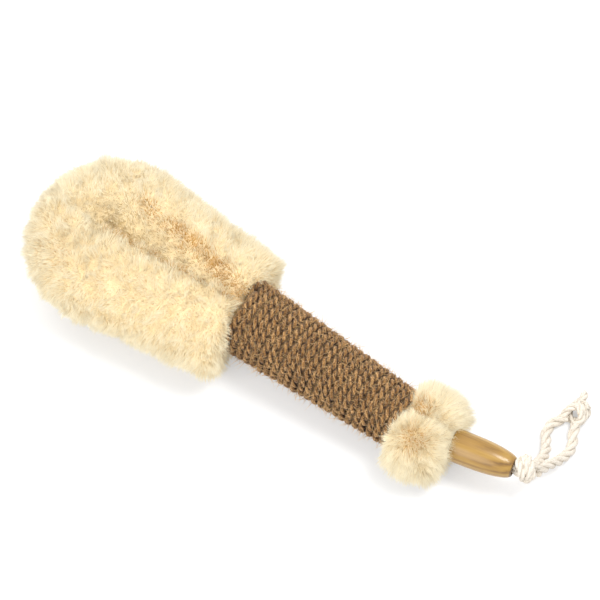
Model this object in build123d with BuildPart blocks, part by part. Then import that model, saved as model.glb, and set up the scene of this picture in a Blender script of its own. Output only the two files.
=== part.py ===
from build123d import *
import math
import os

os.makedirs("parts", exist_ok=True)

# Body dry brush: a twisted-in-wire brush bent into a hairpin, its grip wound with rope,
# a two-lobed bristle collar at the tail, a wooden end bead and a knotted hanging cord.
# Lengths in millimetres, angles in degrees. +X runs from the head to the bead, +Z is up,
# and the brush lies on the plane Z = 0.

# ---- driving dimensions ---------------------------------------------------------------
# core wire
wire_d = 3.3               # twisted pair of wires, as one six-sided rod
wire_fit = 0.15            # fibre's clearance round the wire
wire_end_gap = 0.8         # between the wire's two cut ends, inside the grip

# head
head_reach = 29.5          # from the wire to the bristle tips
head_bend = 24.0           # radius of the wire's front bend
head_run = 84.5            # from the bend's centre to the neck
neck_half = 9.5            # half the wires' spacing at the neck
groove_half = 2.5          # half the groove between the two arms
table_cut = 0.5            # how deep the lowest tips are pressed flat

# bristles
core_r = 5.0               # bound fibre round the wire, to the corners of its flat sides
root_depth = 0.6           # how deep a strand is rooted in it
strand_r = 1.1             # corner radius of a three-sided strand
ring_count = 10            # rings of strands along one arm
ring_strands = 8
bend_stations = 5          # fans of strands round half of the front bend

# grip
grip_run = 110.0           # from the neck end of the winding to the collar, along X
grip_side = -4.9           # how far the tail lies to the near side
grip_start_r = 21.0        # rope's centre line, at the neck
grip_end_r = 16.2          # and at the collar
neck_gap = 3.0             # from the neck to the winding's first turn
rope_d = 3.9               # corner to corner of its five sides
rope_turns = 24
rope_pitch = 4.55
rope_start = 35.0          # angle of the first turn's start from the top
lead_fit = 0.2             # from the rope's starting end to the front bend's fibre
lead_bend = 6.0            # where the starting end turns up to the first turn
fibre_fit = 0.3            # between the fibre and the rope round it

# collar
collar_z = 21.5            # height of its wires
collar_run = 18.5          # from the end of the grip to the centre of the wire's eye
collar_half = 8.0          # half the wires' spacing, and the radius of the eye
collar_reach = 22.0        # from the wire to the bristle tips
collar_lead = 1.0          # from the end of the grip to the lobes' cores

# end bead
bead_turn = 8.8            # how far its axis turns to the far side
bead_seat = 12.7           # from the eye's centre to the bead's inner face
bead_len = 39.0
bead_r = 9.5
bead_shoulder = 13.0       # straight length before the taper
bead_waist_len = 14.0      # length of the first, slower taper
bead_waist_r = 8.5
bead_tip_r = 5.4
bead_edge = 0.8            # chamfer at the inner face
bore_fit = 0.35            # between the cord and the bore

# cord
cord_tight = 3.9           # cord pulled tight through the bead
cord_d = 4.6               # cord as it lies free
leg_half = 2.0             # half the spacing of the two legs in the bore
knot_gap = 0.35            # from the bead's tip to the first knot
knot_core_r = 4.6          # corner radius of a knot's middle
knot_core_len = 9.5
knot_turn = 5.0            # from the first knot's middle to its turns' centre line
end_turn = 4.4             # the same for the open turn of the second knot
knot_wrap = 2.6            # the same for a turn drawn tight round another cord

# ---- places that follow from them -----------------------------------------------------
bore_r = leg_half + cord_tight / 2 + bore_fit
head_z = head_reach - table_cut
reach_x = head_bend + head_reach
total = (reach_x + head_run + neck_gap + grip_run + collar_run
         + (bead_seat + bead_len) * math.cos(math.radians(bead_turn))
         + bead_tip_r * math.sin(math.radians(bead_turn)))
x_front = -total / 2
bend_c = Vector(x_front + reach_x, 0, head_z)
neck_x = bend_c.X + head_run
grip_a = Vector(neck_x + neck_gap, 0, head_z)
grip_b = Vector(grip_a.X + grip_run, grip_side, collar_z)
eye_c = Vector(grip_b.X + collar_run, grip_side, collar_z)
grip_dir = (grip_b - grip_a).normalized()
grip_len = (grip_b - grip_a).length
side_dir = Vector(0, 0, 1).cross(grip_dir).normalized()
up_dir = grip_dir.cross(side_dir).normalized()
bead_dir = Vector(math.cos(math.radians(bead_turn)), math.sin(math.radians(bead_turn)), 0)
bead_side = Vector(-bead_dir.Y, bead_dir.X, 0)
bead_a = eye_c + bead_dir * bead_seat
bead_b = bead_a + bead_dir * bead_len

# tangent from the front bend to the neck
span = math.hypot(head_run, neck_half)
lean = math.asin(head_bend / span) - math.atan2(neck_half, head_run)
arm_len = math.sqrt(span**2 - head_bend**2)
bend_sweep = 90 + math.degrees(lean)
station_step = bend_sweep / bend_stations


def arm_point(side, s):
    """Point on an arm's wire, s along it from the front bend. side is -1 near, +1 far."""
    start = bend_c + Vector(math.sin(lean), side * math.cos(lean), 0) * head_bend
    return start + Vector(math.cos(lean), -side * math.sin(lean), 0) * s


def grip_point(u, v, w):
    """Point of the grip: u along its axis, v to the far side, w up."""
    return grip_a + grip_dir * u + side_dir * v + up_dir * w


def strand_plane(root, direction, along):
    """Plane of a strand's root, its corners turned to the brush's own axis."""
    flat = along - direction * along.dot(direction)
    return Plane(origin=root, x_dir=flat.normalized(), z_dir=direction)


def fan(out, along, angle, tilt):
    """Direction at an angle above the outward direction, tilted along the brush."""
    a = math.radians(angle)
    t = math.radians(tilt)
    flat = out * math.cos(a) + Vector(0, 0, 1) * math.sin(a)
    return flat * math.cos(t) + along * math.sin(t)


def corner_radii(points):
    """Largest arcs that the runs of a free cord allow, one for each corner."""
    radii = []
    for a, b, c in zip(points, points[1:], points[2:]):
        turn = math.radians((b - a).get_angle(c - b))
        radii.append(0.45 * min((b - a).length, (c - b).length) / math.tan(turn / 2))
    return radii


def path_length(line):
    return sum(edge.length for edge in line.edges())


def biarc(p0, t0, p1, t1):
    """Meeting point of the two arcs that join p0 and p1 with these tangents."""
    v = p1 - p0
    s = t0 + t1
    k = 2 * (1 - t0.dot(t1))
    d = (math.sqrt(v.dot(s)**2 + k * v.dot(v)) - v.dot(s)) / k
    return (p0 + t0 * d + p1 - t1 * d) * 0.5


# ---- core wire ------------------------------------------------------------------------
# One closed loop from the hairpin's front to the eye at the tail, its two cut ends
# butting inside the near side of the grip.
root = bend_sweep / 2
corner = head_bend * math.tan(math.radians(root))
front_x = bend_c.X - head_bend
near_neck = arm_point(-1, arm_len)
far_neck = arm_point(1, arm_len)
near_tail = grip_b - Vector(0, collar_half, 0)
far_tail = grip_b + Vector(0, collar_half, 0)
near_run = (near_tail - near_neck).normalized()
cut = near_neck + near_run * 0.45 * (near_tail - near_neck).length
wire_pts = [
    cut - near_run * wire_end_gap / 2,
    near_neck,
    Vector(front_x, -corner - 0.02, head_z),
    Vector(front_x, corner + 0.02, head_z),
    far_neck,
    far_tail,
    eye_c + Vector(collar_half, collar_half + 0.02, 0),
    eye_c + Vector(collar_half, -collar_half - 0.02, 0),
    near_tail,
    cut + near_run * wire_end_gap / 2,
]
wire_radii = [20, head_bend, head_bend, 20, 20, collar_half, collar_half, 20]
with BuildPart() as core_wire:
    with BuildLine() as wire_line:
        FilletPolyline(*wire_pts, radius=wire_radii)
    with BuildSketch(Plane(origin=wire_pts[0], z_dir=wire_pts[1] - wire_pts[0])):
        RegularPolygon(wire_d / 2, 6)
    sweep(path=wire_line.line)
core_wire.part.label = "core_wire"
export_step(core_wire.part, "parts/core_wire.step")

# ---- bristles of the two arms ---------------------------------------------------------
core_root = core_r - root_depth
channel_r = wire_d / 2 + wire_fit


def arm_strands(side):
    """Root planes of one arm's strands, every second ring turned by half a step."""
    along = Vector(math.cos(lean), -side * math.sin(lean), 0)
    out = Vector(math.sin(lean), side * math.cos(lean), 0)
    planes = []
    for i in range(ring_count):
        centre = arm_point(side, arm_len * (i + 0.5) / ring_count)
        turned = 90 if i % 2 == 0 else 90 + 180 / ring_strands
        for k in range(ring_strands):
            direction = fan(out, along, turned + 360 * k / ring_strands, 0)
            planes.append(strand_plane(centre + direction * core_root, direction, along))
    return planes


def arm_axis_plane(side):
    return Plane(origin=arm_point(side, 0), x_dir=(0, 0, 1),
                 z_dir=arm_point(side, 1) - arm_point(side, 0))


with BuildPart() as near_arm_bristles:
    with BuildSketch(arm_axis_plane(-1)):
        RegularPolygon(core_r, 2 * ring_strands, rotation=90 / ring_strands)
    extrude(amount=arm_len)
    with BuildSketch(*arm_strands(-1)):
        RegularPolygon(strand_r, 3)
    extrude(amount=head_reach - core_root)
    with BuildSketch(arm_axis_plane(-1)):
        Circle(channel_r)
    extrude(amount=arm_len, mode=Mode.SUBTRACT)
    split(bisect_by=Plane.XZ.offset(groove_half), keep=Keep.TOP)
    split(bisect_by=Plane.XY, keep=Keep.TOP)
near_arm_bristles.part.label = "near_arm_bristles"
export_step(near_arm_bristles.part, "parts/near_arm_bristles.step")

with BuildPart() as far_arm_bristles:
    with BuildSketch(arm_axis_plane(1)):
        RegularPolygon(core_r, 2 * ring_strands, rotation=90 / ring_strands)
    extrude(amount=arm_len)
    with BuildSketch(*arm_strands(1)):
        RegularPolygon(strand_r, 3)
    extrude(amount=head_reach - core_root)
    with BuildSketch(arm_axis_plane(1)):
        Circle(channel_r)
    extrude(amount=arm_len, mode=Mode.SUBTRACT)
    split(bisect_by=Plane.XZ.offset(-groove_half), keep=Keep.BOTTOM)
    split(bisect_by=Plane.XY, keep=Keep.TOP)
far_arm_bristles.part.label = "far_arm_bristles"
export_step(far_arm_bristles.part, "parts/far_arm_bristles.step")

# ---- bristles of the front bend -------------------------------------------------------
# The core is a mitred chain of flat-sided lengths whose sides touch the wire's arc.
mitre_r = head_bend / math.cos(math.radians(station_step / 2))
bend_channel = channel_r + mitre_r - head_bend


def bend_point(side, angle, radius):
    """Point round the front bend, angle measured from its foremost point."""
    a = math.radians(angle)
    return bend_c + Vector(-math.cos(a), side * math.sin(a), 0) * radius


def bend_path(side):
    points = [bend_point(side, 0, head_bend)]
    for i in range(bend_stations):
        points.append(bend_point(side, (i + 0.5) * station_step, mitre_r))
    points.append(bend_point(side, bend_sweep, head_bend))
    return points


def bend_strands(side):
    """Fans of strands that stand on the outer side of the bend and above and below it."""
    planes = []
    for i in range(bend_stations):
        angle = (i + 0.5) * station_step
        centre = bend_point(side, angle, mitre_r)
        out = (centre - bend_c).normalized()
        along = Vector(-out.Y, out.X, 0)
        for k in range(-4, 5) if i % 2 == 0 else range(-4, 4):
            rise = 30 * k if i % 2 == 0 else 30 * k + 15
            direction = fan(out, along, rise, 0)
            planes.append(strand_plane(centre + direction * core_root, direction, along))
    return planes


with BuildPart() as near_front_bristles:
    with BuildLine() as near_bend:
        Polyline(*bend_path(-1))
    with BuildSketch(Plane(origin=bend_path(-1)[0], x_dir=(0, 0, 1), z_dir=(0, -1, 0))):
        RegularPolygon(core_r, 8, rotation=22.5)
    sweep(path=near_bend.line, transition=Transition.RIGHT)
    with BuildSketch(*bend_strands(-1)):
        RegularPolygon(strand_r, 3)
    extrude(amount=head_reach - core_root)
    with BuildSketch(Plane(origin=bend_path(-1)[0], x_dir=(0, 0, 1), z_dir=(0, -1, 0))):
        Rectangle(2 * channel_r, 2 * bend_channel)
    sweep(path=near_bend.line, transition=Transition.RIGHT, mode=Mode.SUBTRACT)
    split(bisect_by=Plane.XY, keep=Keep.TOP)
near_front_bristles.part.label = "near_front_bristles"
export_step(near_front_bristles.part, "parts/near_front_bristles.step")

with BuildPart() as far_front_bristles:
    with BuildLine() as far_bend:
        Polyline(*bend_path(1))
    with BuildSketch(Plane(origin=bend_path(1)[0], x_dir=(0, 0, 1), z_dir=(0, 1, 0))):
        RegularPolygon(core_r, 8, rotation=22.5)
    sweep(path=far_bend.line, transition=Transition.RIGHT)
    with BuildSketch(*bend_strands(1)):
        RegularPolygon(strand_r, 3)
    extrude(amount=head_reach - core_root)
    with BuildSketch(Plane(origin=bend_path(1)[0], x_dir=(0, 0, 1), z_dir=(0, 1, 0))):
        Rectangle(2 * channel_r, 2 * bend_channel)
    sweep(path=far_bend.line, transition=Transition.RIGHT, mode=Mode.SUBTRACT)
    split(bisect_by=Plane.XY, keep=Keep.TOP)
far_front_bristles.part.label = "far_front_bristles"
export_step(far_front_bristles.part, "parts/far_front_bristles.step")

# ---- pressed fibre under the rope -----------------------------------------------------
# Two halves, one round each wire, with six flat sides each that narrow to the tail.
rope_r = rope_d / 2
fibre_start = rope_r + fibre_fit
fibre_len = grip_len - fibre_start
grip_taper = math.degrees(math.atan((grip_start_r - grip_end_r) / (rope_turns * rope_pitch)))
fibre_sides = 12
side_step = 360 / fibre_sides
# the flats' distance from the axis that keeps their corners clear of the rope
flat_start = (grip_start_r - rope_r - fibre_fit) * math.cos(math.radians(side_step / 2))


def fibre_flats(side):
    """Planes of one half's flat sides, each tilted in towards the tail."""
    planes = []
    for k in range(fibre_sides // 2):
        a = math.radians(side_step * (k + 0.5))
        out = side_dir * side * math.sin(a) + up_dir * math.cos(a)
        t = math.radians(grip_taper)
        normal = out * math.cos(t) + grip_dir * math.sin(t)
        planes.append(Plane(origin=grip_a + out * flat_start, z_dir=normal))
    return planes


def wire_at(side, u):
    """Where a wire crosses the grip's cross-section at u."""
    a = arm_point(side, arm_len)
    b = grip_b + Vector(0, side * collar_half, 0)
    run = (b - a).normalized()
    at = a + run * ((u - (a - grip_a).dot(grip_dir)) / run.dot(grip_dir))
    return at, run


def fibre_plane(u):
    return Plane(origin=grip_point(u, 0, 0), x_dir=side_dir, z_dir=grip_dir)


with BuildPart() as grip_fibre_near:
    with BuildSketch(fibre_plane(fibre_start)):
        Rectangle(grip_start_r, 2 * grip_start_r, align=(Align.MAX, Align.CENTER))
    extrude(amount=fibre_len)
    for plane in fibre_flats(-1):
        split(bisect_by=plane, keep=Keep.BOTTOM)
    near_at, near_way = wire_at(-1, fibre_start - 1)
    with BuildSketch(Plane(origin=near_at, z_dir=near_way)):
        Circle(channel_r)
    extrude(amount=fibre_len + 3, mode=Mode.SUBTRACT)
grip_fibre_near.part.label = "grip_fibre_near"
export_step(grip_fibre_near.part, "parts/grip_fibre_near.step")

with BuildPart() as grip_fibre_far:
    with BuildSketch(fibre_plane(fibre_start)):
        Rectangle(grip_start_r, 2 * grip_start_r, align=(Align.MIN, Align.CENTER))
    extrude(amount=fibre_len)
    for plane in fibre_flats(1):
        split(bisect_by=plane, keep=Keep.BOTTOM)
    far_at, far_way = wire_at(1, fibre_start - 1)
    with BuildSketch(Plane(origin=far_at, z_dir=far_way)):
        Circle(channel_r)
    extrude(amount=fibre_len + 3, mode=Mode.SUBTRACT)
grip_fibre_far.part.label = "grip_fibre_far"
export_step(grip_fibre_far.part, "parts/grip_fibre_far.step")

# ---- rope winding ---------------------------------------------------------------------
# One unbroken tube: its starting end butts on the front bend's fibre, lies in the groove
# between the arms, turns up in front of the pressed fibre, and winds to the collar on a
# steadily narrowing helix.


def turn_point(turn):
    a = math.radians(rope_start + 360 * turn)
    r = grip_start_r + (grip_end_r - grip_start_r) * turn / rope_turns
    return grip_point(rope_pitch * turn, r * math.sin(a), r * math.cos(a))


def turn_tangent(turn):
    step = 0.0001
    return (turn_point(turn + step) - turn_point(turn - step)).normalized()


half_turns = [i / 2 for i in range(2 * rope_turns + 1)]
first = turn_point(0)
first_way = turn_tangent(0)
phi = math.radians(rope_start)
join_r = 0.98 * grip_start_r * math.sin(phi) / (1 + math.sin(phi))
reach = grip_start_r * math.tan(phi)
top = first - first_way * reach
lead_start = Vector(front_x + core_r + lead_fit, 0, head_z)
lead_pts = [lead_start, grip_a, top, first]
with BuildPart() as rope_winding:
    with BuildLine() as rope_line:
        FilletPolyline(*lead_pts, radius=[lead_bend, join_r])
        for a, b in zip(half_turns, half_turns[1:]):
            p0, t0, p1, t1 = turn_point(a), turn_tangent(a), turn_point(b), turn_tangent(b)
            meet = biarc(p0, t0, p1, t1)
            TangentArc(p0, meet, tangent=t0)
            TangentArc(p1, meet, tangent=-t1)
        Line(p1, p1 + t1 * rope_d)
    with BuildSketch(Plane(origin=lead_pts[0], x_dir=(0, 0, 1), z_dir=(1, 0, 0))):
        RegularPolygon(rope_r, 5)
    sweep(path=rope_line.line, clean=False)
rope_winding.part.label = "rope_winding"
export_step(rope_winding.part, "parts/rope_winding.step")

# least gap of the winding to itself, measured between points of neighbouring turns
line_pts = [turn_point(i / 36) for i in range(36 * rope_turns + 1)]
near_turns = [(line_pts[i] - line_pts[i + j]).length
              for i in range(len(line_pts) - 40) for j in range(30, 40)]
print("rope winding: least gap to itself", round(min(near_turns) - rope_d, 3),
      "mm, volume", round(rope_winding.part.volume), "mm3")

# ---- collar bristles ------------------------------------------------------------------
collar_core = collar_run - collar_lead - 0.2
collar_first = rope_d / 2 + 3.0
collar_rings = [
    # share of the core's length behind the first ring, forward tilt
    (0.0, 0),
    (0.25, 12),
    (0.50, 28),
    (0.72, 45),
    (0.92, 62),
]


def collar_strands(side):
    """A pompom's fan of strands round one lobe, leaning forward round the bead's base."""
    along = Vector(1, 0, 0)
    out = Vector(0, side, 0)
    planes = []
    for i, (place, tilt) in enumerate(collar_rings):
        x = grip_b.X + collar_first + (collar_core - collar_first) * place
        centre = Vector(x, grip_side + side * collar_half, collar_z)
        for k in range(6 + i % 2):
            rise = -108 + 36 * k if i % 2 else -90 + 36 * k
            foot = centre + fan(out, along, rise, 0) * collar_root
            planes.append(strand_plane(foot, fan(out, along, rise, tilt), along))
    return planes


collar_root = core_r - 1.7


def collar_plane(side, x):
    return Plane(origin=(x, grip_side + side * collar_half, collar_z), x_dir=(0, 0, 1),
                 z_dir=(1, 0, 0))


with BuildPart() as near_collar_bristles:
    with BuildSketch(collar_plane(-1, grip_b.X + collar_lead)):
        RegularPolygon(core_r, 8, rotation=22.5)
    extrude(amount=collar_core)
    with BuildSketch(*collar_strands(-1)):
        RegularPolygon(strand_r, 3)
    extrude(amount=collar_reach - collar_root)
    with BuildSketch(collar_plane(-1, grip_b.X)):
        Circle(channel_r)
    extrude(amount=collar_run, mode=Mode.SUBTRACT)
    split(bisect_by=Plane.XZ.offset(-grip_side + groove_half), keep=Keep.TOP)
    split(bisect_by=Plane.XY, keep=Keep.TOP)
near_collar_bristles.part.label = "near_collar_bristles"
export_step(near_collar_bristles.part, "parts/near_collar_bristles.step")

with BuildPart() as far_collar_bristles:
    with BuildSketch(collar_plane(1, grip_b.X + collar_lead)):
        RegularPolygon(core_r, 8, rotation=22.5)
    extrude(amount=collar_core)
    with BuildSketch(*collar_strands(1)):
        RegularPolygon(strand_r, 3)
    extrude(amount=collar_reach - collar_root)
    with BuildSketch(collar_plane(1, grip_b.X)):
        Circle(channel_r)
    extrude(amount=collar_run, mode=Mode.SUBTRACT)
    split(bisect_by=Plane.XZ.offset(-grip_side - groove_half), keep=Keep.BOTTOM)
    split(bisect_by=Plane.XY, keep=Keep.TOP)
far_collar_bristles.part.label = "far_collar_bristles"
export_step(far_collar_bristles.part, "parts/far_collar_bristles.step")

# ---- end bead -------------------------------------------------------------------------
bead_plane = Plane(origin=bead_a, x_dir=bead_dir, z_dir=bead_side)
with BuildPart() as end_bead:
    with BuildSketch(bead_plane):
        with BuildLine():
            Polyline(
                (0, bore_r),
                (0, bead_r - bead_edge),
                (bead_edge, bead_r),
                (bead_shoulder, bead_r),
                (bead_shoulder + bead_waist_len, bead_waist_r),
                (bead_len, bead_tip_r),
                (bead_len, bore_r),
                close=True,
            )
        make_face()
    revolve(axis=Axis(bead_a, bead_dir))
end_bead.part.label = "end_bead"
export_step(end_bead.part, "parts/end_bead.step")

# ---- cord: bight round the eye and two legs through the bead --------------------------
bight_r = (wire_d + cord_tight) / 2 + 0.15
wire_s = collar_half - bead_seat


def bead_point(s, side, rise):
    """Point on the bead's axis frame: s along the axis from the inner face."""
    return bead_a + bead_dir * s + bead_side * side + Vector(0, 0, rise)


bight_pts = [
    bead_point(bead_len + knot_gap, 0, leg_half),
    bead_point(-0.3, 0, leg_half),
    bead_point(wire_s + 1.2, 0, bight_r),
    bead_point(wire_s - bight_r, 0, bight_r),
    bead_point(wire_s - bight_r, 0, -bight_r),
    bead_point(wire_s + 1.2, 0, -bight_r),
    bead_point(-0.3, 0, -leg_half),
    bead_point(bead_len + knot_gap, 0, -leg_half),
]
bight_bends = [4, 4, bight_r * 0.99, bight_r * 0.99, 4, 4]
# inside the bead and the bristles the cord is drawn with four sides of its own section
tight_side = cord_tight * math.sqrt(math.pi) / 2
with BuildPart() as cord_bight:
    with BuildLine() as bight_line:
        FilletPolyline(*bight_pts, radius=bight_bends)
    with BuildSketch(Plane(origin=bight_pts[0], x_dir=bead_side, z_dir=-bead_dir)):
        Rectangle(tight_side, tight_side)
    sweep(path=bight_line.line, clean=False)
cord_bight.part.label = "cord_bight"
export_step(cord_bight.part, "parts/cord_bight.step")

# ---- cord: knots and the hanging loop -------------------------------------------------


def tip(x, y, z):
    """Point measured from the bead's tip, with z the height over the table."""
    return Vector(bead_b.X + x, bead_b.Y + y, z)


def turn_line(centre, axis, radius):
    """Eight runs of one turn of a knot, from the middle of a run back to it."""
    flat = Plane(origin=centre, z_dir=axis.normalized())
    corner = radius / math.cos(math.pi / 8)
    points = [flat.from_local_coords(Vector(radius, 0, 0))]
    for i in range(8):
        a = math.radians(45 * (i + 0.5))
        points.append(flat.from_local_coords(Vector(math.cos(a), math.sin(a), 0) * corner))
    return points + points[:1]


bead_knot_c = bead_b + bead_dir * (knot_gap + 6.2) + bead_side * 1.0
bead_turns = [
    # place along the bead's axis from the knot's middle, the turn's own axis
    (-0.6, bead_dir * 0.86 + bead_side * 0.25 + Vector(0, 0, 0.45)),
    (1.8, bead_dir * 0.80 - bead_side * 0.45 - Vector(0, 0, 0.40)),
]
with BuildPart() as bead_knot:
    with BuildSketch(Plane(origin=bead_b + bead_dir * knot_gap, z_dir=bead_dir)):
        RegularPolygon(knot_core_r, 8)
    extrude(amount=knot_core_len)
    for place, axis in bead_turns:
        points = turn_line(bead_knot_c + bead_dir * place, axis, knot_turn)
        with BuildLine() as turn:
            Polyline(*points)
        with BuildSketch(Plane(origin=points[0], z_dir=points[1] - points[0])):
            RegularPolygon(cord_d / 2, 6)
        sweep(path=turn.line, transition=Transition.RIGHT, clean=False)
bead_knot.part.label = "bead_knot"
export_step(bead_knot.part, "parts/bead_knot.step")

near_pts = [
    tip(9.6, 4.6, 19.6), tip(11.3, 15.9, 13.0), tip(13.4, 21.9, 8.5), tip(14.5, 28.7, 4.6),
    tip(15.2, 34.9, 2.8), tip(13.5, 40.8, 2.4), tip(10.4, 45.6, 2.6), tip(9.4, 51.0, 4.2),
]
far_pts = [
    tip(5.0, 5.2, 19.0), tip(6.2, 13.0, 13.6), tip(5.4, 21.7, 7.4), tip(2.7, 29.3, 3.8),
    tip(-1.4, 35.1, 2.6), tip(-3.2, 41.0, 2.4), tip(-1.6, 46.6, 2.8), tip(2.6, 51.5, 4.2),
]
near_radii = corner_radii(near_pts)
far_radii = corner_radii(far_pts)
print("loop radii", [round(r, 1) for r in near_radii], [round(r, 1) for r in far_radii])

with BuildPart() as loop_leg_near:
    with BuildLine() as near_leg_line:
        FilletPolyline(*near_pts, radius=near_radii)
    with BuildSketch(Plane(origin=near_pts[0], z_dir=near_pts[1] - near_pts[0])):
        RegularPolygon(cord_d / 2, 6)
    sweep(path=near_leg_line.line, clean=False)
loop_leg_near.part.label = "loop_leg_near"
export_step(loop_leg_near.part, "parts/loop_leg_near.step")

with BuildPart() as loop_leg_far:
    with BuildLine() as far_leg_line:
        FilletPolyline(*far_pts, radius=far_radii)
    with BuildSketch(Plane(origin=far_pts[0], z_dir=far_pts[1] - far_pts[0])):
        RegularPolygon(cord_d / 2, 6)
    sweep(path=far_leg_line.line, clean=False)
loop_leg_far.part.label = "loop_leg_far"
export_step(loop_leg_far.part, "parts/loop_leg_far.step")

# the second knot: one open turn, which shows its eye, and a wrap round each cord beside it
end_knot_z = 1.08 * (knot_wrap + cord_d / 2)
end_turns = [
    # middle of the turn, its own axis, its radius
    (tip(4.2, 56.0, end_knot_z), Vector(0.22, -0.10, 1), end_turn),
    (tip(8.4, 52.8, end_knot_z), Vector(-0.4, 1, 0.1), knot_wrap),
    (tip(5.6, 61.2, end_knot_z), Vector(0.25, 1, -0.1), knot_wrap),
]
with BuildPart() as end_knot:
    for middle, axis, radius in end_turns:
        points = turn_line(middle, axis, radius)
        with BuildLine() as turn:
            Polyline(*points)
        with BuildSketch(Plane(origin=points[0], z_dir=points[1] - points[0])):
            RegularPolygon(cord_d / 2, 6)
        sweep(path=turn.line, transition=Transition.RIGHT, clean=False)
end_knot.part.label = "end_knot"
export_step(end_knot.part, "parts/end_knot.step")

tail_pts = [tip(5.6, 61.0, 4.6), tip(4.8, 66.0, 3.6), tip(3.0, 71.5, 2.7)]
with BuildPart() as cord_tail:
    with BuildLine() as tail_line:
        FilletPolyline(*tail_pts, radius=corner_radii(tail_pts))
    with BuildSketch(Plane(origin=tail_pts[0], z_dir=tail_pts[1] - tail_pts[0])):
        RegularPolygon(cord_d / 2, 6)
    sweep(path=tail_line.line, clean=False)
cord_tail.part.label = "cord_tail"
export_step(cord_tail.part, "parts/cord_tail.step")

section = 6 / 2 * (cord_d / 2)**2 * math.sin(math.radians(60))
print("near leg", round(path_length(near_leg_line.line), 1), "mm, volume",
      round(loop_leg_near.part.volume), "against", round(section * path_length(near_leg_line.line)))
print("far leg", round(path_length(far_leg_line.line), 1), "mm, volume",
      round(loop_leg_far.part.volume), "against", round(section * path_length(far_leg_line.line)))
print("bight", round(path_length(bight_line.line), 1), "mm, volume", round(cord_bight.part.volume),
      "against", round(tight_side**2 * path_length(bight_line.line)))
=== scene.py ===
import logging
import math
from dataclasses import dataclass, field
from enum import Enum
from typing import Any, Sequence

import bpy
import numpy as np
from mathutils import Matrix, Vector


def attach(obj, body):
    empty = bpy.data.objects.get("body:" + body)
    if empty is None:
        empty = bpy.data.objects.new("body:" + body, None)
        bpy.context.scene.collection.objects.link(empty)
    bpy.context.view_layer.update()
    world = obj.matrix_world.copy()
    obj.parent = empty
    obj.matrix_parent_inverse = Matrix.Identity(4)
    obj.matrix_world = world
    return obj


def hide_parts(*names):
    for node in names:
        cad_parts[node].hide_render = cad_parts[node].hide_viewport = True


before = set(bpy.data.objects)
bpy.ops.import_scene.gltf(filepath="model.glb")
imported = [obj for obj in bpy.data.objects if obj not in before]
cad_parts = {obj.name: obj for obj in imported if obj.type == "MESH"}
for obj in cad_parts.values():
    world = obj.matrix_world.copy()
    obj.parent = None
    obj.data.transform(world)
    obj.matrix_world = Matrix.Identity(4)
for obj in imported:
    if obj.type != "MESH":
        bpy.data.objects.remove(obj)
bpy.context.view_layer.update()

MM = 0.001
UP = np.array([0.0, 0.0, 1.0])
BLACK, WHITE = (0.0, 0.0, 0.0, 1.0), (1.0, 1.0, 1.0, 1.0)
VECTOR = "FLOAT_VECTOR"
log = logging.getLogger("dry_brush")


class Side(Enum):
    """The two halves of the hairpin."""

    NEAR = -1
    FAR = 1

    @property
    def label(self) -> str:
        """The side as the names of nodes and pieces give it."""
        return self.name.lower()


class Body(Enum):
    """The bodies that the pieces ride on."""

    BRUSH = "brush"
    BEAD = "bead"


def tint(red: int, green: int, blue: int) -> tuple[float, float, float, float]:
    """Turns a colour as a screen shows it into the linear colour of a shader.

    Args:
        red, green, blue: From 0 to 255.

    Returns:
        The linear colour with full alpha.
    """
    def linear(v: float) -> float:
        """Linear value of one channel."""
        v /= 255
        return v / 12.92 if v <= 0.04045 else ((v + 0.055) / 1.055) ** 2.4

    return (linear(red), linear(green), linear(blue), 1.0)


def show(obj: bpy.types.Object) -> bpy.types.Object:
    """Puts an object into the scene and returns it."""
    bpy.context.scene.collection.objects.link(obj)
    return obj


# ---- node trees


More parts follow.
